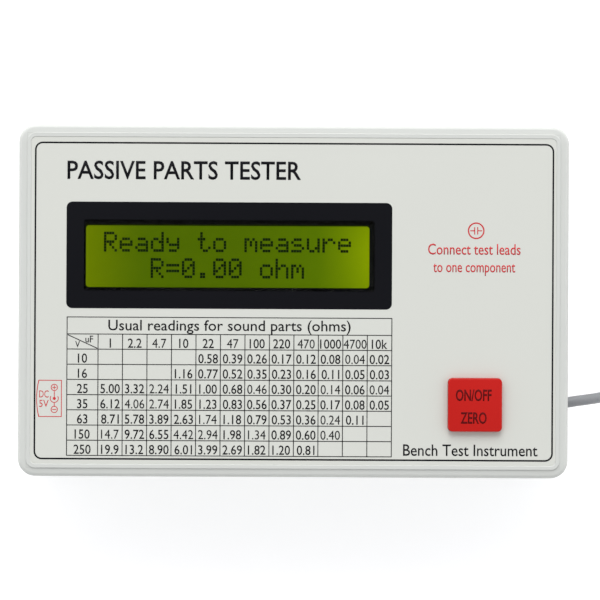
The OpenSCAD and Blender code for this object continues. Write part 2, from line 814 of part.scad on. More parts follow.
module jack_body() {
    slot_w = blade_w + 4 * fit;
    color([0.1, 0.1, 0.1]) difference() {
        translate([jack_x, jack_y - jack_w / 2, z_board_top]) cube([jack_l, jack_w, jack_h]);
        translate([jack_x - 1, jack_y, jack_z]) rotate([0, 90, 0]) cylinder(h = jack_bore_l + 1, d = jack_bore_d);
        translate([jack_x + 1, jack_y, jack_z]) rotate([0, 90, 0])
            cylinder(h = jack_l, d = jack_tail_d + 2 * pin_fit);
        translate([jack_blade_x[0] - 3, jack_y - slot_w / 2, z_board_top - 1])
            cube([3 + blade_t / 2 + fit, slot_w, jack_axis_h]);
    }
}

module jack_centre_pin() {
    x_tip = jack_x + jack_pin_set_back;
    color(metal_grey) translate([x_tip, jack_y, jack_z]) rotate([0, 90, 0]) {
        cylinder(h = jack_pin_cone, d1 = jack_pin_d * 0.6, d2 = jack_pin_d);
        translate([0, 0, jack_pin_cone]) cylinder(h = jack_bore_l - jack_pin_set_back - jack_pin_cone, d = jack_pin_d);
        cylinder(h = jack_l - jack_pin_set_back, d = jack_tail_d);
    }
}

module jack_contacts() {
    z_leaf = jack_z - jack_bore_d / 2 - 2 * fit;
    color(metal_grey) {
        translate([jack_blade_x[0] - blade_t / 2, jack_y - blade_w / 2, z_tail])
            cube([blade_t, blade_w, z_leaf - z_tail]);
        translate([jack_blade_x[0] - 3 + fit, jack_y - blade_w / 2, z_leaf - leg_t])
            cube([3 - fit, blade_w, leg_t]);
        translate([jack_blade_x[1] - blade_t / 2, jack_y - blade_w / 2, z_tail])
            cube([blade_t, blade_w, jack_z + jack_pin_d / 2 - z_tail]);
    }
}

module controller_chip() {
    seat = z_board_top + chip_socket_h + fit;
    color([0.12, 0.12, 0.13]) translate([chip_at[0], chip_at[1], 0]) rotate([0, 0, 90])
        dual_in_line(chip_l, chip_pin_count, seat, z_board_top + 1.5);
}

module chip_socket() {
    length = chip_pin_count / 2 * pin_pitch;
    color([0.15, 0.15, 0.15]) difference() {
        union() {
            translate([chip_at[0], chip_at[1], z_board_top + chip_socket_h / 2]) difference() {
                cube([length, chip_socket_w, chip_socket_h], center = true);
                cube([length - 2 * pin_pitch, chip_socket_w - 2 * pin_pitch, 2 * chip_socket_h], center = true);
            }
            square_pins(chip_pin_at, z_tail, z_board_top + eps);
        }
        for (p = chip_pin_at) {
            translate([p[0], p[1], z_board_top + chip_socket_h]) cube([pin_hole_d, pin_hole_d, 6.4], center = true);
        }
    }
}

module amplifier_chips() {
    color([0.12, 0.12, 0.13]) for (a = amp_at) {
        translate([a[0], a[1], 0]) dual_in_line(amp_l, amp_pin_count, z_board_top + chip_lift, z_tail);
    }
}

module crystal() {
    rim = 0.2;
    color(metal_grey) {
        translate([crystal_at[0], crystal_at[1], z_board_top]) {
            linear_extrude(crystal_h) round_rect(crystal_w, crystal_l, crystal_w / 2 - eps);
            linear_extrude(2 * rim)
                round_rect(crystal_w + 2 * rim, crystal_l + 2 * rim, crystal_w / 2 + rim - eps);
        }
        for (p = in_row(crystal_at, crystal_pitch, 2, false)) {
            translate([p[0], p[1], z_tail]) cylinder(h = z_board_top - z_tail + eps, d = wire_d, $fn = small_fn);
        }
    }
}

module electrolytic_capacitors() {
    bead = 0.4;
    color([0.1, 0.12, 0.3]) for (a = big_cap_at) {
        translate([a[0], a[1], z_board_top]) {
            cylinder(h = 1.2, d = big_cap_d);
            cylinder(h = big_cap_h, d = big_cap_d - 2 * bead);
            translate([0, 0, 2]) cylinder(h = big_cap_h - 2, d = big_cap_d);
        }
        for (p = in_row(a, big_cap_pitch, 2, true)) {
            translate([p[0], p[1], z_tail]) cylinder(h = z_board_top - z_tail + eps, d = wire_d, $fn = small_fn);
        }
    }
}

module film_capacitors() {
    color([0.75, 0.2, 0.15]) for (a = film_cap_at) {
        translate([a[0], a[1], z_board_top + film_cap_size[2] / 2]) cube(film_cap_size, center = true);
        for (p = in_row(a, film_cap_pitch, 2, true)) {
            translate([p[0], p[1], z_tail]) cylinder(h = z_board_top - z_tail + eps, d = wire_d, $fn = small_fn);
        }
    }
}

module resistors() {
    color([0.35, 0.55, 0.7]) for (a = resistor_at) {
        translate([a[0], a[1], 0]) rotate([0, 0, 90]) axial_part(resistor_l, resistor_d, resistor_pitch);
    }
}

module diodes() {
    color([0.12, 0.12, 0.12]) for (a = diode_at) {
        translate([a[0], a[1], 0]) axial_part(diode_l, diode_d, resistor_pitch);
    }
}

module regulator() {
    flat = 1.4;
    color([0.1, 0.1, 0.1]) {
        translate([regulator_at[0], regulator_at[1], z_board_top + regulator_lift]) difference() {
            cylinder(h = regulator_h, d = regulator_d);
            translate([-regulator_d, flat, -1]) cube([2 * regulator_d, regulator_d, regulator_h + 2]);
        }
        for (p = in_row(regulator_at, regulator_pitch, 3, true)) {
            translate([p[0], p[1], z_tail])
                cylinder(h = z_board_top + regulator_lift - z_tail + eps, d = wire_d, $fn = small_fn);
        }
    }
}

module trimmer_body() {
    color([0.15, 0.3, 0.6]) {
        translate([trim_at[0], trim_at[1], z_board_top]) difference() {
            translate([0, 0, trim_h / 2]) cube([trim_w, trim_w, trim_h], center = true);
            translate([0, 0, trim_h - rotor_sink]) cylinder(h = trim_h, d = rotor_d + 4 * pin_fit);
            translate([0, 0, trim_h - rotor_sink - rotor_stem_h - fit])
                cylinder(h = trim_h, d = rotor_stem_d + 2 * pin_fit);
        }
        square_pins(in_row(trim_at, lead_pitch, 3, true), z_tail, z_board_top + eps);
    }
}

module trimmer_rotor() {
    z_pocket = z_board_top + trim_h - rotor_sink + pin_fit;
    height = rotor_sink + rotor_proud;
    color([0.92, 0.92, 0.88]) translate([trim_at[0], trim_at[1], z_pocket]) difference() {
        union() {
            cylinder(h = height, d = rotor_d);
            translate([0, 0, -rotor_stem_h]) cylinder(h = rotor_stem_h + eps, d = rotor_stem_d);
        }
        for (a = [0, 90]) {
            rotate([0, 0, a]) translate([0, 0, height])
                cube([rotor_d - 2 * rotor_slot_w, rotor_slot_w, 2 * rotor_slot_w], center = true);
        }
    }
}

// ---- Test lead ----

module lead_header() {
    at = [lead_header_at[0], lead_header_at[1], z_board_top];
    size = lead_header_size;
    color([0.93, 0.92, 0.86]) {
        difference() {
            translate(at + [0, 0, size[2] / 2]) cube(size, center = true);
            translate(at + [0, 0, lead_header_floor + size[2] / 2])
                cube([size[0] - 2 * lead_header_wall, size[1] - 2 * lead_header_wall, size[2]], center = true);
        }
        square_pins(lead_pins, z_tail, z_plug + pin_up);
    }
}

module lead_plug() {
    color([0.96, 0.95, 0.9]) difference() {
        translate([lead_header_at[0], lead_header_at[1], z_plug + lead_plug_h / 2])
            cube([plug_w, plug_l, lead_plug_h], center = true);
        for (p = lead_pins) {
            translate([p[0], p[1], z_plug]) cube([pin_hole_d, pin_hole_d, 2 * (pin_up + fit)], center = true);
        }
    }
}

module lead_wires() {
    spread_end = lead_pitch / 2;
    spread_start = wire_r + pin_fit / 2;
    n = len(wire_route) - 1;
    for (s = [-1, 1]) {
        path = [for (i = [0:n])
            wire_route[i] + s * (spread_start + (spread_end - spread_start) * i / n)
                * unit(cross(heading(wire_route, i), [0, 0, 1]))];
        color(s < 0 ? "red" : "black") tube(path, wire_r, [1, 0.2, 0.1]);
    }
}

module cable_bush() {
    x_in = case_w / 2 - wall;
    color([0.15, 0.15, 0.15]) difference() {
        translate([x_in - bush_flange_t, cable_y, cable_z]) rotate([0, 90, 0]) {
            cylinder(h = bush_flange_t, d = bush_flange_d);
            cylinder(h = bush_flange_t + wall, d = bush_d);
        }
        translate([x_in - bush_flange_t - 1, cable_y, cable_z]) rotate([0, 90, 0])
            cylinder(h = bush_flange_t + wall + 2, d = bush_bore_d);
    }
}

module cable_tie() {
    x_in = case_w / 2 - wall - bush_flange_t - tie_w;
    bore = cable_d + 2 * pin_fit;
    color([0.93, 0.93, 0.9]) difference() {
        union() {
            translate([x_in, cable_y, cable_z]) rotate([0, 90, 0]) cylinder(h = tie_w, d = bore + 2 * tie_t);
            translate([x_in, cable_y - tie_head[1] / 2, cable_z + bore / 2 + eps]) cube(tie_head);
        }
        translate([x_in - 1, cable_y, cable_z]) rotate([0, 90, 0]) cylinder(h = tie_w + 2, d = bore);
    }
}

module test_cable() {
    color(lead_grey) tube(cable_route, cable_d / 2);
}

module test_cable_coil() {
    half = cable_d / 2;
    r_out = coil_r + half;
    r_in = coil_r - (coil_turns_wide - 1) * cable_d - half - 0.6;
    height = coil_layers * cable_d + coil_lift;
    color(lead_grey) translate([coil_at[0], coil_at[1], 0]) rotate_extrude() difference() {
        translate([r_in, 0]) square([r_out - r_in, height]);
        for (r = [r_in, r_out - half], z = [0, height - half]) {
            translate([r, z]) square(half);
        }
    }
    color(lead_grey) translate([coil_at[0], coil_at[1], 0]) for (r = [r_in + half, r_out - half],
        z = [half, height - half]) {
        rotate_extrude() translate([r, z]) circle(half);
    }
}

module test_cable_tail() {
    color(lead_grey) tube(cable_tail_route, cable_d / 2);
}

module lead_splitter() {
    start = cable_tail_route[len(cable_tail_route) - 1];
    color([0.2, 0.2, 0.2]) translate([start[0], start[1], splitter_h / 2 + fit / 2]) hull($fn = 32) {
        rotate([-90, 0, 0]) cylinder(h = 1, d = splitter_h - 0.4);
        for (s = [-1, 1]) {
            translate([s * (splitter_w - splitter_h) / 2, splitter_l - 3, 0])
                rotate([-90, 0, 0]) cylinder(h = 3, d = splitter_h);
        }
    }
}

module red_lead() {
    color([0.75, 0.1, 0.08]) tube(red_route, lead_d / 2);
}

module black_lead() {
    color([0.1, 0.1, 0.1]) tube(black_route, lead_d / 2);
}

// Lays a probe on the table, its grip's rear edge and its guard touching it, the tip to -Y
module lay_probe(x) {
    translate([x, probe_y, grip_d / 2 + probe_lift]) rotate([-probe_tilt, 0, 0]) rotate([90, 0, 0]) children();
}

module probe_handle() {
    edge = 0.8;
    front = grip_l + guard_t;
    difference() {
        rotate_extrude() polygon([
            [0, -tail_l], [tail_d / 2, -tail_l], [tail_d / 2 + 0.6, 0], [grip_d / 2 - edge, 0],
            [grip_d / 2, edge], [grip_d / 2, grip_l], [guard_d / 2 - 0.4, grip_l],
            [guard_d / 2, grip_l + 0.4], [guard_d / 2, front - 0.4], [guard_d / 2 - 0.4, front],
            [neck_d / 2 + 1.4, front], [neck_d / 2, front + neck_l], [0, front + neck_l]
        ]);
        translate([0, 0, front + neck_l - tip_in]) cylinder(h = tip_in + 1, d = tip_d + pin_fit);
    }
}

module probe_tip() {
    start = grip_l + guard_t + neck_l - tip_in + fit;
    straight = tip_in + tip_out - tip_point;
    translate([0, 0, start]) cylinder(h = straight, d = tip_d);
    translate([0, 0, start + straight]) cylinder(h = tip_point, d1 = tip_d, d2 = tip_d / 8);
}

module red_probe_handle() {
    color([0.75, 0.1, 0.08]) lay_probe(red_probe_x) probe_handle();
}

module black_probe_handle() {
    color([0.1, 0.1, 0.1]) lay_probe(black_probe_x) probe_handle();
}

module red_probe_tip() {
    color(metal_grey) lay_probe(red_probe_x) probe_tip();
}

module black_probe_tip() {
    color(metal_grey) lay_probe(black_probe_x) probe_tip();
}

bottom_cover();
top_cover();
case_screws();
rubber_feet();
face_overlay();
display_window();
key_cap();
key_pusher();
switch_body();
switch_plunger();
switch_terminals();
lcd_bezel();
lcd_glass();
lcd_backlight();
lcd_contact_strips();
lcd_board();
lcd_driver_blobs();
lcd_screws();
lcd_pin_header();
lcd_socket();
main_board();
board_screws();
jack_body();
jack_centre_pin();
jack_contacts();
controller_chip();
chip_socket();
amplifier_chips();
crystal();
electrolytic_capacitors();
film_capacitors();
resistors();
diodes();
regulator();
trimmer_body();
trimmer_rotor();
lead_header();
lead_plug();
lead_wires();
cable_bush();
cable_tie();
test_cable();
test_cable_coil();
test_cable_tail();
lead_splitter();
red_lead();
black_lead();
red_probe_handle();
black_probe_handle();
red_probe_tip();
black_probe_tip();
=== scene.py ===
"""Component tester: a two-part case, a lit display, one key and two test probes on a coiled cable.

Metres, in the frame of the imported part: the case lies face up, with +Z out of its face.
"""

import math
from contextlib import contextmanager

import bpy
from mathutils import Matrix, Vector


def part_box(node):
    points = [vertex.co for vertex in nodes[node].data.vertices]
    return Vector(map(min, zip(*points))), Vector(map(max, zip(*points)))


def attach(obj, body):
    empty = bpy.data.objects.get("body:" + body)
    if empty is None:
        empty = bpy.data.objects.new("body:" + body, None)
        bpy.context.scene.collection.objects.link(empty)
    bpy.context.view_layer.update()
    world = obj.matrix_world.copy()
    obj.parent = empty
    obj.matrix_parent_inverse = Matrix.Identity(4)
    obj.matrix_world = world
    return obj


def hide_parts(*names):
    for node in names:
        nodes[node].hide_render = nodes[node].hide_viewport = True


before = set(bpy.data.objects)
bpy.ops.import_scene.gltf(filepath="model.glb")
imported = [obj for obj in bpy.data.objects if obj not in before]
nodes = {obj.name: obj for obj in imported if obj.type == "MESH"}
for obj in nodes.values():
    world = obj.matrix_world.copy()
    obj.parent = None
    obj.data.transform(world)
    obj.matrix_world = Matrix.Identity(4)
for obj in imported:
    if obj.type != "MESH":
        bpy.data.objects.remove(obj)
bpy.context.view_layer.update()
bpy.ops.object.select_all(action="DESELECT")
MM = 0.001


# ---- Table, lamps and camera ----
# A pale table top, faintly lit from within and far larger than the object, under broad soft lamps.
# The camera looks straight down on the face, square to it but for a slight roll.

table_size = 8
table_gap = 0.1 * MM
table_glow = 0.36


def add_node(tree, kind, inputs, **settings):
    """A node of that kind with its settings, whose inputs are linked to sockets or set to values."""
    node = tree.nodes.new(kind)
    for name, value in settings.items():
        setattr(node, name, value)
    for name, value in inputs.items():
        if isinstance(value, bpy.types.NodeSocket):
            tree.links.new(value, node.inputs[name])
        else:
            node.inputs[name].default_value = value
    return node


def worked(tree, operation, *values):
    """The result of a sum on numbers or sockets."""
    return add_node(tree, "ShaderNodeMath", dict(enumerate(values)), operation=operation).outputs[0]


def ranged(tree, value, start, end, low=0.0, high=1.0, smooth=False):
    """The value brought from one range to another and kept inside it."""
    given = {"Value": value, "From Min": start, "From Max": end, "To Min": low, "To Max": high}
    kind = "SMOOTHSTEP" if smooth else "LINEAR"
    return add_node(tree, "ShaderNodeMapRange", given, interpolation_type=kind).outputs[0]


def axes_of(tree, vector):
    """The X, Y and Z of a vector."""
    return add_node(tree, "ShaderNodeSeparateXYZ", {0: vector}).outputs


def object_place(tree):
    """Where a point lies on the piece's own axes."""
    return add_node(tree, "ShaderNodeTexCoord", {}).outputs["Object"]


def noise(tree, place, scale, detail=2.0, roughness=0.5):
    """A cloudy value that drifts round a half."""
    given = {"Vector": place, "Scale": scale, "Detail": detail, "Roughness": roughness}
    return add_node(tree, "ShaderNodeTexNoise", given).outputs["Fac"]


def new_material(name, roughness, uniform=None):
    """A material with one Principled shader, its node tree and that shader."""
    material = bpy.data.materials.new(name)
    material.use_nodes = True
    shader = material.node_tree.nodes["Principled BSDF"]
    shader.inputs["Roughness"].default_value = roughness
    for socket, value in (uniform or {}).items():
        shader.inputs[socket].default_value = value
    return material, material.node_tree, shader


def mixed_colour(tree, factor, first, second):
    """The output of a colour mix between two colours or sockets."""
    mix = tree.nodes.new("ShaderNodeMix")
    mix.data_type = "RGBA"
    for index, value in ((0, factor), (6, first), (7, second)):
        if isinstance(value, bpy.types.NodeSocket):
            tree.links.new(value, mix.inputs[index])
        else:
            mix.inputs[index].default_value = value
    return mix.outputs[2]


bpy.ops.mesh.primitive_plane_add(size=table_size, location=(0, 0, -table_gap))
table = bpy.context.object
table.name = "table_top"
table_paint, tree, shader = new_material(
    "table_paint", 0.8, {"Emission Color": (1, 1, 1, 1), "Emission Strength": table_glow}
)
clouds = noise(tree, object_place(tree), 3.0)
tone = mixed_colour(tree, clouds, (0.92, 0.925, 0.93, 1), (0.95, 0.95, 0.95, 1))
tree.links.new(tone, shader.inputs["Base Color"])

# Only its upper side is painted, so that the object can be looked at from below
seen_from_below = add_node(tree, "ShaderNodeNewGeometry", {}).outputs["Backfacing"]
clear = add_node(tree, "ShaderNodeBsdfTransparent", {}).outputs[0]
one_sided = add_node(tree, "ShaderNodeMixShader", {0: seen_from_below, 1: shader.outputs[0], 2: clear})
tree.links.new(one_sided.outputs[0], tree.nodes["Material Output"].inputs["Surface"])
table.data.materials.append(table_paint)


def soft_lamp(name, place, size, power):
    """A square lamp that looks at the object and isn't itself seen."""
    bpy.ops.object.light_add(type="AREA", location=place)
    lamp = bpy.context.object
    lamp.name = name
    lamp.data.size = size
    lamp.data.energy = power
    lamp.rotation_euler = (-Vector(place)).to_track_quat("-Z", "Y").to_euler()
    lamp.visible_camera = False


soft_lamp("lamp_far", (-0.1, 1.5, 1.1), 1.2, 21)
soft_lamp("lamp_left", (-1.5, -0.2, 1.0), 1.2, 0.8)
soft_lamp("lamp_right", (1.5, -0.2, 1.0), 1.2, 1.5)

# The room is bright at the walls, most at the far one, and dark overhead, so that gloss stays deep in tone
room = bpy.data.worlds.new("room")
room.use_nodes = True
tree = room.node_tree
direction = add_node(tree, "ShaderNodeTexCoord", {}).outputs["Generated"]
axes = axes_of(tree, direction)
overhead = ranged(tree, axes["Z"], 0.75, 0.95, 1.12, 0.012, smooth=True)
far_wall = ranged(tree, axes["Y"], -1.0, 1.0, 0.62, 1.38)
sky = tree.nodes["Background"]
sky.inputs["Color"].default_value = (0.97, 0.97, 1.0, 1)
tree.links.new(worked(tree, "MULTIPLY", overhead, far_wall), sky.inputs["Strength"])
bpy.context.scene.world = room
bpy.context.scene.view_settings.view_transform = "Standard"

face_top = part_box("face_overlay")[1].z
camera_distance = 0.65
camera_reach = 0.13615
camera_aim = (1.5 * MM, 0.3 * MM)
camera_roll = math.radians(0.28)
camera_place = (*camera_aim, face_top + camera_distance)
bpy.ops.object.camera_add(location=camera_place, rotation=(0, 0, camera_roll))
camera = bpy.context.object
camera.data.lens = camera.data.sensor_width * camera_distance / camera_reach
camera.data.clip_start = 0.01
camera.data.clip_end = 50
bpy.context.scene.camera = camera


# ---- Bottom cover ----
# The deep lower half of the case, moulded in pale grey ABS with a fine spark-eroded texture.
# It carries the board on posts, and its tongue centres the top cover.


def new_group(name, inputs, outputs):
    """A shader node group with named inputs and outputs, and its two end nodes."""
    group = bpy.data.node_groups.new(name, "ShaderNodeTree")
    for label, value in inputs.items():
        kind = "NodeSocketVector" if isinstance(value, tuple) else "NodeSocketFloat"
        group.interface.new_socket(label, in_out="INPUT", socket_type=kind).default_value = value
    for label in outputs:
        group.interface.new_socket(label, in_out="OUTPUT", socket_type="NodeSocketFloat")
    start, end = group.nodes.new("NodeGroupInput"), group.nodes.new("NodeGroupOutput")
    return group, start.outputs, end.inputs


def worked_vector(tree, operation, *values):
    """The vector that a sum on vectors or sockets gives."""
    return add_node(tree, "ShaderNodeVectorMath", dict(enumerate(values)), operation=operation).outputs[0]


# Fine texture of a moulded or lacquered surface, with the slow drift of its tone
grain_group, given, result = new_group(
    "moulded_grain", {"Scale": 3000.0, "Drift Scale": 40.0}, ["Tone", "Height"]
)
place = object_place(grain_group)
fine = noise(grain_group, place, given["Scale"], 3.0)
both = worked(grain_group, "ADD", fine, noise(grain_group, place, given["Drift Scale"]))
grain_group.links.new(worked(grain_group, "MULTIPLY", both, 0.5), result["Tone"])
grain_group.links.new(fine, result["Height"])

# Where a box-like piece is rubbed, and on the case where painted shade darkens it: its edges and corners,
# broken up by a noise
edge_wear_and_shade_group, given, result = new_group(
    "edge_wear_and_shade", {"Low": (0.0, 0.0, 0.0), "High": (1.0, 1.0, 1.0), "Reach": 0.001}, ["Mask"]
)
place = object_place(edge_wear_and_shade_group)
from_low = worked_vector(edge_wear_and_shade_group, "SUBTRACT", place, given["Low"])
from_high = worked_vector(edge_wear_and_shade_group, "SUBTRACT", given["High"], place)
axes = axes_of(edge_wear_and_shade_group, worked_vector(edge_wear_and_shade_group, "MINIMUM", from_low, from_high))
near = [ranged(edge_wear_and_shade_group, axis, 0.0, given["Reach"], 1.0, 0.0, smooth=True) for axis in axes]
pairs = [worked(edge_wear_and_shade_group, "MULTIPLY", near[i], near[(i + 1) % 3]) for i in range(3)]
edges = worked(edge_wear_and_shade_group, "MAXIMUM", worked(edge_wear_and_shade_group, "MAXIMUM", pairs[0], pairs[1]), pairs[2])
broken = ranged(edge_wear_and_shade_group, noise(edge_wear_and_shade_group, place, 420.0, 4.0), 0.42, 0.68)
edge_wear_and_shade_group.links.new(worked(edge_wear_and_shade_group, "MULTIPLY", edges, broken), result["Mask"])

# Faint finger marks and dust: soft patches a few millimetres across
marks_group, given, result = new_group("handling_marks", {"Scale": 90.0, "Amount": 0.5}, ["Mask"])
patches = noise(marks_group, object_place(marks_group), given["Scale"], 5.0, 0.6)
spread = ranged(marks_group, patches, 0.5, 0.75)
marks_group.links.new(worked(marks_group, "MULTIPLY", spread, given["Amount"]), result["Mask"])


def place_group(tree, group, inputs):
    """The outputs of a shared group placed in a material with its own values."""
    node = add_node(tree, "ShaderNodeGroup", {}, node_tree=group)
    for name, value in inputs.items():
        node.inputs[name].default_value = value
    return node.outputs


def toned(colour, share):
    """The colour made darker or lighter by that share."""
    return tuple(min(1, c * share) for c in colour[:3]) + (1,)


def finish(tree, shader, colour, roughness=None, height=None, depth=0.0):
    """Puts a colour, an uneven roughness and a raised surface on a shader."""
    tree.links.new(colour, shader.inputs["Base Color"])
    if roughness:
        tree.links.new(roughness, shader.inputs["Roughness"])
    if height:
        bump = add_node(tree, "ShaderNodeBump", {"Height": height, "Distance": depth})
        tree.links.new(bump.outputs["Normal"], shader.inputs["Normal"])


def moulded(name, colour, roughness, scale=3000.0, depth=0.02 * MM, contrast=0.05, sheen=0.08, marks=0.3,
            edges_worn_and_shaded=None, specular=0.5):
    """A moulded, lacquered or rubber finish from the shared grain, marks and, on a box, edges of another
    colour: wear, and on the case also painted shade.
    """
    material, tree, shader = new_material(name, roughness, {"Specular IOR Level": specular})
    grain = place_group(tree, grain_group, {"Scale": scale})
    marked = place_group(tree, marks_group, {"Amount": marks})["Mask"]
    base = mixed_colour(tree, grain["Tone"], toned(colour, 1 - contrast), toned(colour, 1 + contrast))
    if edges_worn_and_shaded:
        low, high, reach, edge_colour = edges_worn_and_shaded
        edge_mask = place_group(tree, edge_wear_and_shade_group, {"Low": low, "High": high, "Reach": reach})["Mask"]
        base = mixed_colour(tree, edge_mask, base, edge_colour)
    gloss = ranged(tree, grain["Tone"], 0.0, 1.0, roughness - sheen, min(1.0, roughness + sheen))
    smeared = worked(tree, "SUBTRACT", gloss, worked(tree, "MULTIPLY", marked, sheen))
    finish(tree, shader, base, smeared, grain["Height"], depth)
    return material


def dress(material, *pieces):
    """Gives pieces, or the CAD nodes of those names, one material."""
    for piece in pieces:
        piece = nodes[piece] if isinstance(piece, str) else piece
        piece.data.materials.clear()
        piece.data.materials.append(material)


case_low, case_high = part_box("bottom_cover")[0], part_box("top_cover")[1]
case_plastic = moulded(
    "case_plastic", (0.593, 0.609, 0.575, 1), 0.5, scale=5200.0, depth=0.015 * MM, contrast=0.03, marks=0.4,
    # The darker edge colour is partly wear and partly painted shade, which takes light off the rounded outer
    # edges
    edges_worn_and_shaded=(tuple(case_low), tuple(case_high), 1.4 * MM, (0.555, 0.567, 0.54, 1)),
)
dress(case_plastic, "bottom_cover")


# ---- Rubber feet ----
# Four moulded feet of black rubber, pressed into round pockets in the floor of the case.
# Each has a rounded rim and a shallow dimple in its sole.


smooth_angle = math.radians(35)


@contextmanager
def editing(piece, faces=None, edges=None):
    """Edit mode while the block lasts, with the whole piece or just those faces or edges selected."""
    bpy.context.view_layer.objects.active = piece
    picky = bool(faces or edges)
    if picky:
        bpy.context.tool_settings.mesh_select_mode = (False, edges is not None, faces is not None)
    bpy.ops.object.mode_set(mode="EDIT")
    bpy.ops.mesh.select_all(action="DESELECT" if picky else "SELECT")
    if picky:
        bpy.ops.object.mode_set(mode="OBJECT")
        corners = piece.data.vertices
        for face in piece.data.polygons:
            face.select = faces is not None and faces(face)
        for edge in piece.data.edges:
            if edges is not None:
                edge.select = edges(corners[edge.vertices[0]].co, corners[edge.vertices[1]].co)
        bpy.ops.object.mode_set(mode="EDIT")
    yield
    bpy.ops.object.mode_set(mode="OBJECT")


def drawn_out(name, sections, sides=48):
    """A piece drawn out along Z, section by section: height, half width and, where it differs, half depth."""
    height, half_w = sections[0][:2]
    half_d = sections[0][-1]
    bpy.ops.mesh.primitive_circle_add(vertices=sides, radius=1, fill_type="NGON")
    piece = bpy.context.object
    piece.name = name
    piece.data.transform(Matrix.Translation((0, 0, height)) @ Matrix.Diagonal((half_w, half_d, 1, 1)))
    with editing(piece):
        for section in sections[1:]:
            rise, wider, deeper = section[0] - height, section[1] / half_w, section[-1] / half_d
            height, half_w, half_d = section[0], section[1], section[-1]
            bpy.ops.mesh.extrude_region_move(TRANSFORM_OT_translate={"value": (0, 0, rise)})
            bpy.ops.transform.resize(value=(wider, deeper, 1), center_override=(0, 0, height))
        bpy.ops.mesh.select_all(action="SELECT")
        bpy.ops.mesh.normals_make_consistent(inside=False)
    bpy.ops.object.shade_smooth_by_angle(angle=smooth_angle)
    piece.select_set(False)
    return piece


def tipped(degrees):
    """The matrix of a turn about X."""
    return Matrix.Rotation(math.radians(degrees), 4, "X")


def copy_to(piece, matrix):
    """A copy of a piece with its own mesh, moved by the matrix."""
    twin = piece.copy()
    twin.data = piece.data.copy()
    twin.data.transform(matrix)
    bpy.context.scene.collection.objects.link(twin)
    return twin


def joined(name, pieces):
    """The pieces made into one object."""
    bpy.ops.object.select_all(action="DESELECT")
    for piece in pieces:
        piece.select_set(True)
    bpy.context.view_layer.objects.active = pieces[0]
    bpy.ops.object.join()
    whole = bpy.context.object
    whole.name = name
    bpy.ops.object.select_all(action="DESELECT")
    return whole


def fit_on(piece, material, body, slot, *replaced):
    """The piece gets a material, rides on a body and stands for CAD nodes, which it hides. The slot argument
    is not used.
    """
    dress(material, piece)
    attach(piece, body)
    if replaced:
        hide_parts(*replaced)


feet_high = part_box("rubber_feet")[1]
foot_r = 4 * MM
foot_h = feet_high.z
foot_rim = 0.7 * MM
foot_dimple_r = 2.2 * MM
foot_dimple_h = 0.25 * MM
foot_profile = [(foot_dimple_h, foot_dimple_r * 0.4), (foot_dimple_h * 0.9, foot_dimple_r * 0.8)]
foot_profile += [(0.05 * MM, foot_dimple_r), (0, foot_dimple_r + 0.2 * MM)]
foot_profile += [
    (foot_rim * (1 - math.cos(turn)), foot_r - foot_rim * (1 - math.sin(turn)))
    for turn in (math.radians(15 * step) for step in range(7))
]
foot_profile += [(foot_h, foot_r)]
foot = drawn_out("foot", foot_profile, 64)
foot_x, foot_y = feet_high.x - foot_r, feet_high.y - foot_r
feet = [copy_to(foot, Matrix.Translation((x * foot_x, y * foot_y, 0))) for x in (-1, 1) for y in (-1, 1)]
bpy.data.objects.remove(foot)
moulded_feet = joined("moulded_feet", feet)
foot_rubber = moulded(
    "foot_rubber", (0.022, 0.022, 0.023, 1), 0.75, scale=2600.0, depth=0.04 * MM, contrast=0.25,
)
fit_on(moulded_feet, foot_rubber, "case", "foot_rubber", "rubber_feet")


# ---- Main board and what is soldered to it ----
# A glass-fibre board with green solder mask on four posts, with through-hole parts on its upper side.
# Legs and terminals are tinned metal, chips are black epoxy, capacitors are sleeved or dipped.


def laminate(name):
    """Green solder mask, lighter over the copper tracks that run under it."""
    material, tree, shader = new_material(name, 0.35, {"Coat Weight": 0.3, "Coat Roughness": 0.2})
    track_grid = {"Scale": 180.0, "Mortar Size": 0.09, "Brick Width": 1.3, "Row Height": 0.45}
    bricks = add_node(tree, "ShaderNodeTexBrick", {"Vector": object_place(tree), **track_grid})
    tracks = bricks.outputs["Fac"]
    grain = place_group(tree, grain_group, {"Scale": 1800.0})
    mask = mixed_colour(tree, grain["Tone"], (0.012, 0.11, 0.04, 1), (0.018, 0.15, 0.055, 1))
    tracked = mixed_colour(tree, tracks, mask, (0.04, 0.26, 0.1, 1))
    finish(tree, shader, tracked, height=tracks, depth=0.03 * MM)
    return material


def plated(name, colour, roughness):
    """Plated metal: fine drawn lines that vary its gloss."""
    material, tree, shader = new_material(name, roughness, {"Metallic": 1.0})
    drawn = add_node(tree, "ShaderNodeMapping", {"Vector": object_place(tree), "Scale": (1.0, 1.0, 9.0)})
    lines = noise(tree, drawn.outputs[0], 1500.0, 3.0)
    gloss = ranged(tree, lines, 0.0, 1.0, roughness * 0.7, roughness * 1.4)
    finish(tree, shader, mixed_colour(tree, lines, toned(colour, 0.82), colour), gloss)
    return material


board_laminate = laminate("board_laminate")
contact_metal = plated("contact_metal", (0.72, 0.71, 0.68, 1), 0.3)
screw_steel = plated("screw_steel", (0.6, 0.61, 0.63, 1), 0.28)
epoxy_black = moulded(
    "epoxy_black", (0.018, 0.018, 0.019, 1), 0.42, scale=4000.0, depth=0.03 * MM, contrast=0.3,
)
white_plastic = moulded("white_plastic", (0.78, 0.77, 0.72, 1), 0.4, contrast=0.04)
black_plastic = moulded("black_plastic", (0.022, 0.022, 0.024, 1), 0.45, contrast=0.25)


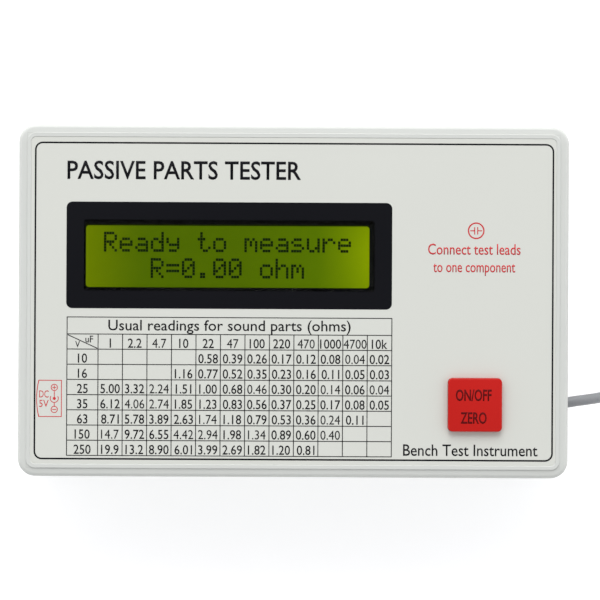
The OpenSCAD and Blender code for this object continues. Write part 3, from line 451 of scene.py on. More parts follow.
def sleeved(name, sleeve, bare):
    """A shrink sleeve on a can whose top end is bare aluminium."""
    material, tree, shader = new_material(name, 0.25, {"Coat Weight": 0.4})
    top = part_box("electrolytic_capacitors")[1].z
    above = worked(tree, "GREATER_THAN", axes_of(tree, object_place(tree))["Z"], top - 0.05 * MM)
    grain = place_group(tree, grain_group, {"Scale": 900.0})
    plastic = mixed_colour(tree, grain["Tone"], toned(sleeve, 0.8), sleeve)
    finish(tree, shader, mixed_colour(tree, above, plastic, bare))
    tree.links.new(above, shader.inputs["Metallic"])
    return material


def banded(name, body, bands):
    """Lacquer with colour bands across Y, at their places on a row of resistors."""
    material, tree, shader = new_material(name, 0.3, {"Coat Weight": 0.3})
    along = axes_of(tree, object_place(tree))["Y"]
    grain = place_group(tree, grain_group, {"Scale": 2000.0})
    colour = mixed_colour(tree, grain["Tone"], toned(body, 0.85), body)
    for middle, half, band in bands:
        away = worked(tree, "ABSOLUTE", worked(tree, "SUBTRACT", along, middle))
        colour = mixed_colour(tree, worked(tree, "LESS_THAN", away, half), colour, band)
    finish(tree, shader, colour)
    return material


resistor_low, resistor_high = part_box("resistors")
resistor_y = (resistor_low.y + resistor_high.y) / 2
band_colours = [(0.12, 0.04, 0.01, 1), (0.01, 0.01, 0.01, 1), (0.6, 0.08, 0.02, 1), (0.45, 0.3, 0.08, 1)]
resistor_bands = [
    (resistor_y + (i - 1.5) * 1.3 * MM, 0.3 * MM, colour) for i, colour in enumerate(band_colours)
]
dress(board_laminate, "main_board", "lcd_board")
dress(screw_steel, "board_screws", "lcd_screws")
dress(epoxy_black, "controller_chip", "amplifier_chips", "regulator", "diodes", "lcd_driver_blobs")
dress(black_plastic, "chip_socket", "lcd_socket", "lcd_pin_header")
dress(white_plastic, "lead_header", "lead_plug")
dress(plated("crystal_can", (0.75, 0.74, 0.7, 1), 0.22), "crystal")
dress(sleeved("capacitor_sleeve", (0.02, 0.03, 0.12, 1), (0.6, 0.6, 0.6, 1)), "electrolytic_capacitors")
dress(moulded("film_red", (0.48, 0.06, 0.03, 1), 0.25, scale=1200.0, contrast=0.15), "film_capacitors")
dress(banded("resistor_blue", (0.13, 0.32, 0.5, 1), resistor_bands), "resistors")


# ---- Contrast trimmer ----
# A square blue trimmer on the board with a white cross-slotted rotor, set once with a screwdriver.

dress(moulded("trimmer_blue", (0.025, 0.11, 0.42, 1), 0.35, contrast=0.12), "trimmer_body")
dress(white_plastic, "trimmer_rotor")


# ---- DC inlet ----
# A black barrel jack soldered to the board behind a round hole in the left wall.
# Its centre pin and spring contacts are plated brass.

dress(black_plastic, "jack_body")
dress(contact_metal, "jack_centre_pin", "jack_contacts")


# ---- Display module ----
# A standard character display: black steel bezel over a green liquid crystal glass, lit from its ends.
# The bezel's tabs hold it to its own board, which hangs from posts under the face.

dress(moulded("bezel_paint", (0.005, 0.0055, 0.005, 1), 0.6, contrast=0.15, specular=0.1), "lcd_bezel")
dress(moulded("backlight_plastic", (0.75, 0.85, 0.45, 1), 0.3, contrast=0.05), "lcd_backlight")
dress(moulded("strip_rubber", (0.3, 0.2, 0.24, 1), 0.7, contrast=0.2), "lcd_contact_strips")

view_middle = [(low + high) / 2 for low, high in zip(*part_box("lcd_glass"))]
view_half_w = 32.2 * MM
view_half_h = 7.0 * MM
view_centre = (-15.0 * MM, 10.06 * MM)
view_corner = 0.7 * MM
view_blur = 0.09 * MM


def lit_glass(name):
    """Green glass lit from both ends, brightest at the right-hand one, inside a border of painted shade from
    the bezel.
    """
    material, tree, shader = new_material(name, 0.25, {"Emission Strength": 1.0, "Specular IOR Level": 0.05})
    place = object_place(tree)
    axes = axes_of(tree, place)

    def glow(direction, start, sharpness):
        """Rises from 0 to 1 between start and the end of the view on that side."""
        begin, end = (view_middle[0] + direction * reach for reach in (start, view_half_w))
        return worked(tree, "POWER", ranged(tree, axes["X"], begin, end), sharpness)

    away = worked(tree, "SUBTRACT", axes["Y"], view_middle[1])
    share = worked(tree, "DIVIDE", away, view_half_h * 1.9)
    mid_height = worked(tree, "SUBTRACT", 1.0, worked(tree, "MULTIPLY", share, share))
    right = worked(tree, "MULTIPLY", glow(1, 20 * MM, 1.4), mid_height)
    colour = mixed_colour(tree, glow(1, 0, 1.2), (0.07, 0.13, 0.0008, 1), (0.098, 0.18, 0.0006, 1))
    colour = mixed_colour(tree, right, colour, (0.225, 0.32, 0.0, 1))
    colour = mixed_colour(tree, glow(-1, 18 * MM, 1.3), colour, (0.135, 0.196, 0.0003, 1))

    # A rounded rectangle bounds the view: past it the glow gives way to painted shade, where the bezel shades
    # the glass
    straight = (view_half_w - view_corner, view_half_h - view_corner, 1)
    mirrored = worked_vector(tree, "ABSOLUTE", worked_vector(tree, "SUBTRACT", place, (*view_centre, 0)))
    past = worked_vector(tree, "MAXIMUM", worked_vector(tree, "SUBTRACT", mirrored, straight), (0, 0, 0))
    reach = add_node(tree, "ShaderNodeVectorMath", {0: past}, operation="LENGTH").outputs["Value"]
    bezel_shade = ranged(tree, reach, view_corner - view_blur, view_corner + view_blur, smooth=True)
    colour = mixed_colour(tree, bezel_shade, colour, (0.004, 0.006, 0.001, 1))
    grain = place_group(tree, grain_group, {"Scale": 700.0, "Drift Scale": 60.0})
    glass = mixed_colour(tree, grain["Tone"], (0.01, 0.015, 0.0001, 1), (0.018, 0.025, 0.0002, 1))
    finish(tree, shader, glass)
    tree.links.new(colour, shader.inputs["Emission Color"])
    return material


dress(lit_glass("display_glass"), "lcd_glass")


# ---- Display characters ----
# Two rows of sixteen places, each of five by seven dots that the liquid crystal darkens.
# The dots lie on the upper side of the glass.

dot_rows = {
    "R": "####. #...# #...# ####. #.#.. #..#. #...#",
    "e": "..... ..... .###. #...# ##### #.... .###.",
    "a": "..... ..... .###. ....# .#### #...# .####",
    "d": "....# ....# .##.# #..## #...# #...# .####",
    "y": "..... ..... #...# #...# .#### ....# .###.",
    "t": ".#... .#... ###.. .#... .#... .#..# ..##.",
    "o": "..... ..... .###. #...# #...# #...# .###.",
    "m": "..... ..... ##.#. #.#.# #.#.# #...# #...#",
    "s": "..... ..... .###. #.... .###. ....# ####.",
    "u": "..... ..... #...# #...# #...# #..## .##.#",
    "r": "..... ..... #.##. ##..# #.... #.... #....",
    "h": "#.... #.... #.##. ##..# #...# #...# #...#",
    "0": ".###. #...# #..## #.#.# ##..# #...# .###.",
    ".": "..... ..... ..... ..... ..... .##.. .##..",
    "=": "..... ..... ##### ..... ##### ..... .....",
}
display_rows = ["Ready to measure", "   R=0.00 ohm"]
character_pitch = 3.547 * MM
row_pitch = 5.95 * MM
dot_pitch = (0.6 * MM, 0.655 * MM)
dot_size = (0.55 * MM, 0.6 * MM)
dot_lift = 0.01 * MM
first_dot = (view_middle[0] - 28.15 * MM + dot_pitch[0] / 2, view_middle[1] + 5.5 * MM - dot_pitch[1] / 2)
bpy.ops.mesh.primitive_plane_add(size=1)
dot = bpy.context.object
dots = []
for row, words in enumerate(display_rows):
    for column, letter in enumerate(words):
        for down, line in enumerate(dot_rows.get(letter, "").split()):
            for across, mark in enumerate(line):
                if mark == "#":
                    x = first_dot[0] + column * character_pitch + across * dot_pitch[0]
                    y = first_dot[1] - row * row_pitch - down * dot_pitch[1]
                    size = Matrix.Diagonal((*dot_size, 1, 1))
                    dots.append(copy_to(dot, Matrix.Translation((x, y, 0)) @ size))
bpy.data.objects.remove(dot)


def thickened(piece, low, thickness):
    """Gives flat shapes at z = 0 a thickness and lays them at that height."""
    piece.select_set(True)
    with editing(piece):
        bpy.ops.mesh.extrude_region_move(TRANSFORM_OT_translate={"value": (0, 0, thickness)})
        bpy.ops.mesh.select_all(action="SELECT")
        bpy.ops.mesh.normals_make_consistent(inside=False)
    piece.data.transform(Matrix.Translation((0, 0, low)))
    piece.select_set(False)
    return piece


characters = thickened(joined("display_characters", dots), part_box("lcd_glass")[1].z + dot_lift, 0.02 * MM)
dark_crystal = moulded(
    "dark_crystal", (0.005, 0.016, 0.002, 1), 0.5, contrast=0.2, marks=0.1, specular=0.05,
)
fit_on(characters, dark_crystal, "case", "display_glass")


# ---- Top cover ----
# The shallow upper half, moulded like the bottom. A raised rim runs round the recess for the overlay,
# with painted shade, a thin darker line, along its foot.

cover_plastic = case_plastic.copy()
cover_plastic.name = "cover_plastic"
rim_foot = 2.0 * MM
rim_shade_w = 0.13 * MM
tree = cover_plastic.node_tree
shader = tree.nodes["Principled BSDF"]
plain = shader.inputs["Base Color"].links[0].from_socket
cover_middle = (case_low + case_high) / 2
off_middle = worked_vector(tree, "SUBTRACT", object_place(tree), tuple(cover_middle))
half_size = tuple(case_high - cover_middle)
inwards = worked_vector(tree, "SUBTRACT", half_size, worked_vector(tree, "ABSOLUTE", off_middle))
axes = axes_of(tree, inwards)
# Painted shade: a thin darker line where the rim steps down to the recess
off_foot = worked(tree, "SUBTRACT", worked(tree, "MINIMUM", axes["X"], axes["Y"]), rim_foot)
dust_and_shade = ranged(tree, worked(tree, "ABSOLUTE", off_foot), 0.0, rim_shade_w, 0.2, 0.0)
finish(tree, shader, mixed_colour(tree, dust_and_shade, plain, (0.2, 0.2, 0.19, 1)))
dress(cover_plastic, "top_cover")


# ---- Face overlay ----
# A polycarbonate film with a velvet face, glued into the recess and printed in black and red.
# The film is clear over the display, inside a printed black frame.

overlay_film = moulded(
    "overlay_film", (0.62, 0.632, 0.581, 1), 0.55, scale=6500.0, depth=0.008 * MM, contrast=0.018, marks=0.35,
)

window_glass, tree, shader = new_material(
    "window_film", 0.0, {"Transmission Weight": 1.0, "IOR": 1.35, "Specular IOR Level": 0.2}
)
marked = place_group(tree, marks_group, {"Scale": 60.0, "Amount": 1.0})["Mask"]
finish(tree, shader, mixed_colour(tree, marked, (1.0, 1.0, 1.0, 1), (0.97, 0.98, 0.97, 1)))
dress(window_glass, "display_window")

ink_thickness = 0.015 * MM
window_x, window_y = [(low + high) / 2 for low, high in zip(*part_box("display_window"))][:2]


def flat_plate(width, depth, corner, x=0, y=0):
    """A flat rectangle with round corners."""
    bpy.ops.mesh.primitive_plane_add(size=1)
    piece = bpy.context.object
    piece.data.transform(Matrix.Diagonal((width, depth, 1, 1)))
    with editing(piece):
        bpy.ops.mesh.bevel(offset=corner, segments=6, affect="VERTICES")
    piece.data.transform(Matrix.Translation((x, y, 0)))
    return piece


def bridged(outer, inner):
    """The flat ring between the outlines of two flat pieces with as many points each."""
    ring = joined("ring", [outer, inner])
    with editing(ring):
        bpy.ops.mesh.delete(type="ONLY_FACE")
        bpy.ops.mesh.select_all(action="SELECT")
        bpy.ops.mesh.bridge_edge_loops()
    return ring


def flat_frame(width, depth, corner, line, x=0, y=0):
    """A printed line round a rectangle with round corners, inside that size."""
    inner_corner = max(corner - line, 0.05 * MM)
    return bridged(
        flat_plate(width, depth, corner, x, y),
        flat_plate(width - 2 * line, depth - 2 * line, inner_corner, x, y),
    )


def flat_bar(start, end, line):
    """A printed straight line."""
    (x0, y0), (x1, y1) = start, end
    length = math.hypot(x1 - x0, y1 - y0)
    bpy.ops.mesh.primitive_plane_add(size=1)
    piece = bpy.context.object
    turn = Matrix.Rotation(math.atan2(y1 - y0, x1 - x0), 4, "Z")
    middle = Matrix.Translation(((x0 + x1) / 2, (y0 + y1) / 2, 0))
    piece.data.transform(middle @ turn @ Matrix.Diagonal((length, line, 1, 1)))
    return piece


def flat_ring(x, y, radius, line, gap=0.0):
    """A printed circle, open upwards by the angle gap."""
    bpy.ops.mesh.primitive_circle_add(vertices=32, radius=radius, location=(x, y, 0))
    outer = bpy.context.object
    bpy.ops.mesh.primitive_circle_add(vertices=32, radius=radius - line, location=(x, y, 0))
    inner = bpy.context.object
    for piece in (outer, inner):
        piece.data.transform(Matrix.Translation(piece.location))
        piece.location = (0, 0, 0)
    ring = bridged(outer, inner)
    middle = Vector((x, y))
    if gap:
        with editing(ring, faces=lambda face: abs(math.atan2(*(face.center.xy - middle))) < gap / 2):
            bpy.ops.mesh.delete(type="FACE")
    return ring


def flat_words(words, x, baseline, capital, width=None, narrowing=0.74, centred=True, weight=0.0):
    """Printed words, with capitals of that height, as wide as asked for or in a narrow face."""
    bpy.ops.object.text_add()
    bpy.context.object.data.body = words
    bpy.context.object.data.resolution_u = 3
    bpy.context.object.data.offset = weight
    bpy.ops.object.convert(target="MESH")
    piece = bpy.context.object
    left = min(v.co.x for v in piece.data.vertices)
    right = max(v.co.x for v in piece.data.vertices)
    high = capital / font_capital
    wide = width / (right - left) if width else high * narrowing
    start = (left + right) / 2 if centred else left
    size = Matrix.Diagonal((wide, high, 1, 1))
    piece.data.transform(Matrix.Translation((x, baseline, 0)) @ size @ Matrix.Translation((-start, 0, 0)))
    return piece


bpy.ops.object.text_add()
bpy.context.object.data.body = "H"
bpy.ops.object.convert(target="MESH")
font_capital = max(v.co.y for v in bpy.context.object.data.vertices)
bpy.data.objects.remove(bpy.context.object)

# The film nearly fills its recess, and fits closely round the window and the key
film_low, film_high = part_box("face_overlay")
film_grow = 0.09 * MM
film_fit = 0.05 * MM
film_corner = 1.0 * MM
window_low, window_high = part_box("display_window")
clear_w, clear_h = window_high.x - window_low.x, window_high.y - window_low.y
opening_low, opening_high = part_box("key_cap")
key_x, key_y = [(low + high) / 2 for low, high in zip(opening_low, opening_high)][:2]
cap_w = opening_high.x - opening_low.x - 0.06 * MM
cap_d = opening_high.y - opening_low.y - 0.2 * MM
cap_x, cap_y = key_x - 0.03 * MM, key_y + 0.1 * MM
cap_gap = 0.05 * MM
film_size, film_middle = film_high - film_low, (film_low + film_high) / 2
film_w, film_d = film_size.x + 2 * film_grow, film_size.y + 2 * film_grow
film = flat_plate(film_w, film_d, film_corner + film_grow, film_middle.x, film_middle.y)
thickened(film, film_low.z, film_size.z)
film.name = "face_film"
for wide, deep, corner, x, y in (
    (clear_w + 2 * film_fit, clear_h + 2 * film_fit, 0.6 * MM, window_x, window_y),
    (cap_w + 2 * cap_gap, cap_d + 2 * cap_gap, 1.05 * MM, cap_x, cap_y),
):
    cutter = thickened(flat_plate(wide, deep, corner, x, y), film_low.z - 1 * MM, 3 * MM)
    bpy.ops.object.select_all(action="DESELECT")
    bpy.context.view_layer.objects.active = film
    cut = film.modifiers.new("opening", "BOOLEAN")
    cut.operation = "DIFFERENCE"
    cut.object = cutter
    bpy.ops.object.modifier_apply(modifier=cut.name)
    bpy.data.objects.remove(cutter)
fit_on(film, overlay_film, "case", "overlay_film", "face_overlay")

# The black print: a line round the face, the display's frame, the title and the maker's line
face_line = 0.37 * MM
face_margin_x, face_margin_y = 3.58 * MM, 3.95 * MM
face_shift = (0.12 * MM, -0.08 * MM)
face_w = case_high.x - case_low.x - 2 * face_margin_x
face_d = case_high.y - case_low.y - 2 * face_margin_y
black_frame = (73.9 * MM, 24.2 * MM)
title_left = -51.4 * MM
black_print = [
    flat_frame(face_w, face_d, 1.8 * MM, face_line, *face_shift),
    bridged(
        flat_plate(*black_frame, 1.35 * MM, window_x, window_y),
        flat_plate(clear_w, clear_h, 0.6 * MM, window_x, window_y),
    ),
    flat_words("PASSIVE PARTS TESTER", title_left, 27.6 * MM, 4.0 * MM, 53 * MM, centred=False, weight=0.012),
    flat_words(
        "Bench Test Instrument", 25.05 * MM, -34.9 * MM, 2.55 * MM, 30.5 * MM, centred=False, weight=0.006,
    ),
]

# The table of usual readings: thin rules round thirteen columns, with numbers from one rule of thumb
rule = 0.19 * MM
table_left, table_right = -51.32 * MM, 22.38 * MM
table_top, table_bottom = -3.79 * MM, -35.2 * MM
title_row_h = 3.85 * MM
head_row_h = 3.43 * MM
first_column_w = 7.05 * MM
capacities = [1, 2.2, 4.7, 10, 22, 47, 100, 220, 470, 1000, 4700, 10000]
voltages = [10, 16, 25, 35, 63, 150, 250]
blank_before = {10: 4, 16: 3}
blank_after = {63: 1, 150: 2, 250: 3}
column_w = (table_right - table_left - first_column_w) / len(capacities)
row_h = (table_top - table_bottom - title_row_h - head_row_h) / len(voltages)
column_lines = [table_left + first_column_w + column_w * i for i in range(len(capacities) + 1)]
head_top = table_top - title_row_h
row_lines = [head_top - head_row_h - row_h * i for i in range(len(voltages) + 1)]
number_h = 2.05 * MM
number_lift = 0.37 * MM
black_print.append(
    flat_frame(
        table_right - table_left + rule, table_top - table_bottom + rule, 0.1 * MM, rule,
        (table_left + table_right) / 2, (table_top + table_bottom) / 2,
    )
)
inner_left, inner_right = table_left + rule / 2, table_right - rule / 2
black_print += [flat_bar((inner_left, y), (inner_right, y), rule) for y in [head_top, *row_lines[:-1]]]
band_edges = [head_top, *row_lines[:-1], table_bottom]
for x in column_lines[:-1]:
    for upper, lower in zip(band_edges, band_edges[1:]):
        black_print.append(flat_bar((x, upper - rule / 2), (x, lower + rule / 2), rule))
corner_x, corner_y = column_lines[0] - rule, row_lines[0] + rule
black_print += [
    flat_bar((table_left + rule, head_top - rule), (corner_x, corner_y), rule),
    flat_words("uF", table_left + 5.05 * MM, head_top - 1.9 * MM, 1.5 * MM, 1.75 * MM, weight=0.008),
    flat_words("V", table_left + 2.4 * MM, row_lines[0] + 0.4 * MM, 1.4 * MM, 1.05 * MM, weight=0.008),
    flat_words(
        "Usual readings for sound parts (ohms)", (table_left + table_right) / 2,
        head_top + 0.88 * MM, 2.35 * MM, 55 * MM, weight=0.006,
    ),
]


def cell_words(words, column, row_top, height):
    """A number centred in a cell; column 0 is the wide first one. A 4 fills up if it is made bolder."""
    left = table_left if column == 0 else column_lines[column - 1]
    right = column_lines[column]
    baseline = row_top - height + number_lift
    weight = 0.0 if "4" in words else 0.007
    return flat_words(words, (left + right) / 2, baseline, number_h, narrowing=0.89, weight=weight)


def short_number(value):
    """The value as a label prints it: 4.7, 100 or 10k."""
    return f"{value // 1000}k" if value >= 10000 else f"{value:g}"


def usual_reading(voltage, capacity):
    """A plausible series resistance, higher for small parts and for high voltages."""
    ohms = 5 * (voltage / 25) ** 0.6 * capacity ** -0.52
    return f"{ohms:.1f}" if ohms >= 10 else f"{ohms:.2f}"


for column, capacity in enumerate(capacities, 1):
    black_print.append(cell_words(short_number(capacity), column, head_top, head_row_h))
for voltage, row_top in zip(voltages, row_lines):
    black_print.append(cell_words(str(voltage), 0, row_top, row_h))
    last = len(capacities) - blank_after.get(voltage, 0)
    for column in range(1 + blank_before.get(voltage, 0), last + 1):
        words = usual_reading(voltage, capacities[column - 1])
        black_print.append(cell_words(words, column, row_top, row_h))

print_low = face_top + 0.004 * MM
face_print_black = thickened(joined("face_print_black", black_print), print_low, ink_thickness)
black_ink = moulded(
    "black_ink", (0.0045, 0.0048, 0.0068, 1), 0.5, scale=6500.0, contrast=0.12, marks=0.3, specular=0.1,
)
fit_on(face_print_black, black_ink, "case", "overlay_film")

# The red print: a capacitor sign over two short lines, and the inlet's label at the left edge
sign_x, sign_y = 41.4 * MM, 16.2 * MM
sign_r = 1.9 * MM
plate_half = 0.85 * MM
plate_gap = 0.35 * MM
red_line = 0.22 * MM
red_print = [
    flat_ring(sign_x, sign_y, sign_r, 0.3 * MM),
    flat_words("Connect test leads", 41 * MM, 10.8 * MM, 2.4 * MM, 21 * MM, weight=0.006),
    flat_words("to one component", 41 * MM, 6.8 * MM, 2.4 * MM, 18.6 * MM, weight=0.006),
]
for side in (-1, 1):
    x = sign_x + side * plate_gap
    red_print.append(flat_bar((x, sign_y - plate_half), (x, sign_y + plate_half), red_line))
    near, far = x + side * red_line / 2, sign_x + side * 1.35 * MM
    red_print.append(flat_bar((near, sign_y), (far, sign_y), red_line))

jack_y = sum(corner.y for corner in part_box("jack_body")) / 2
label_left, label_right = -57.75 * MM, -52.45 * MM
label_half_h = 4.2 * MM
label_bow = 0.5 * MM
label_line = 0.17 * MM
poles_x = -54.15 * MM
pole_step = 2.5 * MM
pole_r = 0.8 * MM


def bowed_plate(inset):
    """The inlet label's outline, whose left side bulges."""
    bpy.ops.mesh.primitive_plane_add(size=1)
    piece = bpy.context.object
    with editing(piece):
        bpy.ops.mesh.delete(type="ONLY_FACE")
        bpy.ops.mesh.select_all(action="SELECT")
        bpy.ops.mesh.subdivide(number_cuts=7)
    for vertex in piece.data.vertices:
        across, up = vertex.co.x + 0.5, vertex.co.y * 2
        bulge = label_bow * (1 - up * up) * (1 - across)
        width = label_right - label_left - 2 * inset
        vertex.co.x = label_left + inset + width * across - bulge
        vertex.co.y = jack_y + up * (label_half_h - inset)
    return piece


red_print += [
    bridged(bowed_plate(0), bowed_plate(label_line)),
    flat_words("DC", -56.5 * MM, jack_y + 0.2 * MM, 1.6 * MM, 2.15 * MM),
    flat_words("5V", -56.5 * MM, jack_y - 1.95 * MM, 1.6 * MM, 2.15 * MM),
    flat_ring(poles_x, jack_y + pole_step, pole_r, label_line),
    flat_ring(poles_x, jack_y - pole_step, pole_r, label_line),
    flat_ring(poles_x, jack_y, 1.0 * MM, label_line, math.radians(110)),
    flat_plate(0.7 * MM, 0.7 * MM, 0.34 * MM, poles_x, jack_y),
    flat_bar((poles_x, jack_y + 0.35 * MM), (poles_x, jack_y + pole_step - pole_r), label_line),
    flat_bar((poles_x, jack_y - 1.0 * MM), (poles_x, jack_y - pole_step + pole_r), label_line),
]
pole_mark = 0.45 * MM
for y in (jack_y + pole_step, jack_y - pole_step):
    red_print.append(flat_bar((poles_x - pole_mark, y), (poles_x + pole_mark, y), label_line))
upper = jack_y + pole_step
for side in (-1, 1):
    near_middle = upper + side * label_line / 2
    red_print.append(flat_bar((poles_x, near_middle), (poles_x, upper + side * pole_mark), label_line))
face_print_red = thickened(joined("face_print_red", red_print), print_low, ink_thickness)
red_ink = moulded(
    "red_ink", (0.55, 0.035, 0.04, 1), 0.5, scale=6500.0, contrast=0.1, marks=0.3, specular=0.2,
)
fit_on(face_print_red, red_ink, "case", "overlay_film")


# ---- Key ----
# A square cap of red plastic with softly rounded edges and a hollow underside, printed in dark red.
# It stands on a white pusher that works the switch on the board.

legend_room = 0.02 * MM
key_low, key_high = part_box("key_cap")
key_high.z -= legend_room
pusher_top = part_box("key_pusher")[1].z
key_middle = (key_low + key_high) / 2
key_corner = 1.05 * MM
key_edge = 0.25 * MM
cap_wall = 1.2 * MM
cap_roof = key_high.z - pusher_top - 0.05 * MM
socket_r, socket_wall = 1.55 * MM, 1.2 * MM


def upright_edge(first, second):
    """Whether an edge between those two corners runs up the piece."""
    return abs(first.z - second.z) > 1 * MM


bpy.ops.mesh.primitive_cube_add(size=1)
cap = bpy.context.object
cap.data.transform(Matrix.Diagonal((cap_w, cap_d, key_high.z - key_low.z, 1)))
with editing(cap, edges=upright_edge):
    bpy.ops.mesh.bevel(offset=key_corner, segments=8, affect="EDGES")
with editing(cap, faces=lambda face: face.normal.z > 0.9):
    bpy.ops.mesh.bevel(offset=key_edge, segments=6, affect="EDGES")
with editing(cap, faces=lambda face: face.normal.z < -0.9):
    bpy.ops.mesh.inset(thickness=cap_wall)
    bpy.ops.mesh.extrude_region_move(
        TRANSFORM_OT_translate={"value": (0, 0, key_high.z - key_low.z - cap_roof)}
    )
cap.data.transform(Matrix.Translation((cap_x, cap_y, key_middle.z)))
bpy.ops.object.shade_smooth_by_angle(angle=smooth_angle)
roof_low = key_high.z - cap_roof
socket = drawn_out("socket", [
    (roof_low, socket_r), (roof_low, socket_r + socket_wall), (key_low.z, socket_r + socket_wall),
    (key_low.z, socket_r), (roof_low - 0.01 * MM, socket_r),
])
socket.data.transform(Matrix.Translation((key_middle.x, key_middle.y, 0)))
cap = joined("moulded_key", [cap, socket])
key_plastic = moulded(
    "key_plastic", (0.49, 0.014, 0.011, 1), 0.4, scale=3600.0, depth=0.01 * MM, contrast=0.06, marks=0.4,
    edges_worn_and_shaded=(tuple(key_low), tuple(key_high), 0.5 * MM, (0.52, 0.035, 0.028, 1)),
    specular=0.15,
)
fit_on(cap, key_plastic, "key", "key_plastic", "key_cap")

legend = joined("key_legend", [
    flat_words("ON/OFF", key_middle.x - 0.35 * MM, key_middle.y + 1.1 * MM, 2.45 * MM, 8.1 * MM, weight=0.02),
    flat_words("ZERO", key_middle.x - 0.35 * MM, key_middle.y - 4.05 * MM, 2.45 * MM, 5.9 * MM, weight=0.02),
])
thickened(legend, key_high.z + 0.003 * MM, ink_thickness)
legend_ink = moulded("legend_ink", (0.1, 0.005, 0.006, 1), 0.5, contrast=0.1, marks=0.2, specular=0.05)
fit_on(legend, legend_ink, "key", "key_plastic")

dress(white_plastic, "key_pusher")
dress(black_plastic, "switch_plunger", "switch_body")
dress(contact_metal, "switch_terminals")


# ---- Case screws ----
# Four zinc-plated pan-head screws, sunk in wells in the floor, that hold the two covers together.

dress(screw_steel, "case_screws")


# ---- Cable entry ----
# A black rubber bush lines the hole in the right wall. Inside, a nylon tie stops the cable from pulling out
# and two insulated wires go on to the plug on the board.

dress(moulded("bush_rubber", (0.02, 0.02, 0.021, 1), 0.6, contrast=0.25), "cable_bush")
dress(white_plastic, "cable_tie")
dress(moulded("wire_insulation", (0.32, 0.02, 0.018, 1), 0.4, contrast=0.1), "lead_wires")


# ---- Test cable ----
# Grey two-core cable with a soft vinyl jacket. It leaves the right wall, comes down to the table and is
# wound into a neat coil for storage, held by a twist tie, before it runs on to the splitter.


def jacket(name, colour, roughness=0.42):
    """Soft extruded vinyl: faint drawn streaks, specks of dust and an uneven gloss."""
    material, tree, shader = new_material(name, roughness, {"Coat Weight": 0.12, "Coat Roughness": 0.35})
    grain = place_group(tree, grain_group, {"Scale": 900.0, "Drift Scale": 120.0})
    dust_and_shade = place_group(tree, marks_group, {"Scale": 1400.0, "Amount": 0.5})["Mask"]
    dusty = tuple(c * 0.7 + 0.12 for c in colour[:3]) + (1,)
    base = mixed_colour(tree, grain["Tone"], toned(colour, 0.9), toned(colour, 1.08))
    gloss = ranged(tree, grain["Tone"], 0.0, 1.0, roughness - 0.08, roughness + 0.12)
    finish(tree, shader, mixed_colour(tree, dust_and_shade, base, dusty), gloss, grain["Height"], 0.02 * MM)
    return material


def cord_curve(name, points, diameter):
    """One smooth open curve through the points, as thick as the cord, with closed ends."""
    curve = bpy.data.curves.new(name, "CURVE")
    curve.dimensions = "3D"
    curve.bevel_depth = diameter / 2
    curve.bevel_resolution = 4
    curve.resolution_u = 5
    curve.use_fill_caps = True
    spline = curve.splines.new("BEZIER")
    spline.bezier_points.add(len(points) - 1)
    for knot, point in zip(spline.bezier_points, points):
        knot.co = point
        knot.handle_left_type = knot.handle_right_type = "AUTO"
    piece = bpy.data.objects.new(name, curve)
    bpy.context.scene.collection.objects.link(piece)
    return piece


def in_metres(points):
    """Points given in millimetres."""
    return [tuple(value * MM for value in point) for point in points]


cable_d = 2.5 * MM
cable_route = in_metres([
    (53, -23.4, 14), (58, -23.4, 14), (63, -23.4, 14), (66.5, -22.95, 13.6), (70, -22.5, 12.4),
    (73.5, -22, 10.3), (77, -21.5, 7.7), (80.5, -21.1, 5.2), (84, -20.8, 3.1), (87, -20.6, 1.8),
    (90.5, -20.5, 1.35), (93.5, -20.5, 1.3),
])
cable_tail_route = in_metres([
    (93.5, 12.5, 3.8), (90, 12.7, 3.75), (86.6, 13.4, 3.3), (83.4, 15, 2.5), (80.9, 17.6, 1.8),
    (79.3, 20.8, 1.5), (78.8, 24.2, 1.8), (78.8, 27, 2.2),
])
coil_x, coil_y = 93.5 * MM, -4 * MM
coil_r = 16.5 * MM
coil_low_z = 1.3 * MM
coil_turns = 5.5
steps_a_turn = 24


def coil_point(turn):
    """A point of the coil: two turns inwards on the table, one that climbs, then two outwards on top."""
    radius, height = coil_r, coil_low_z + cable_d
    if turn <= 2:
        radius, height = coil_r - cable_d * turn, coil_low_z
    elif turn <= 3:
        climb = math.radians(90 * (turn - 2))
        radius = coil_r - cable_d * (turn - 1 + math.cos(climb))
        height = coil_low_z + cable_d * math.sin(climb)
    elif turn <= 5:
        radius = coil_r - cable_d * (5 - turn)
    angle = math.radians(360 * turn - 90)
    return (coil_x + radius * math.cos(angle), coil_y + radius * math.sin(angle), height)


coil_points = [coil_point(step / steps_a_turn) for step in range(1, round(coil_turns * steps_a_turn))]
cable_jacket = jacket("cable_jacket", (0.24, 0.248, 0.257, 1))
grey_cable = cord_curve("grey_cable", cable_route + coil_points + cable_tail_route, cable_d)
fit_on(grey_cable, cable_jacket, "case", "cable_jacket", "test_cable", "test_cable_coil", "test_cable_tail")


# ---- Coil tie ----
# A short twist tie, a white plastic strip with a steel wire inside, goes round all the turns of the coil.
# Its two ends are twisted together on top and bent over.

tie_at = math.radians(20)
tie_w = 2.6 * MM
tie_t = 0.4 * MM
coil_width = 7.6 * MM
coil_height = 5.05 * MM
tie_band = thickened(
    flat_frame(coil_width + 2 * tie_t, coil_height + tie_t - 0.02 * MM, 1.4 * MM, tie_t), -tie_w / 2, tie_w
)
tie_band.data.transform(Matrix.Translation((0, coil_height / 2 + tie_t / 2, 0)))

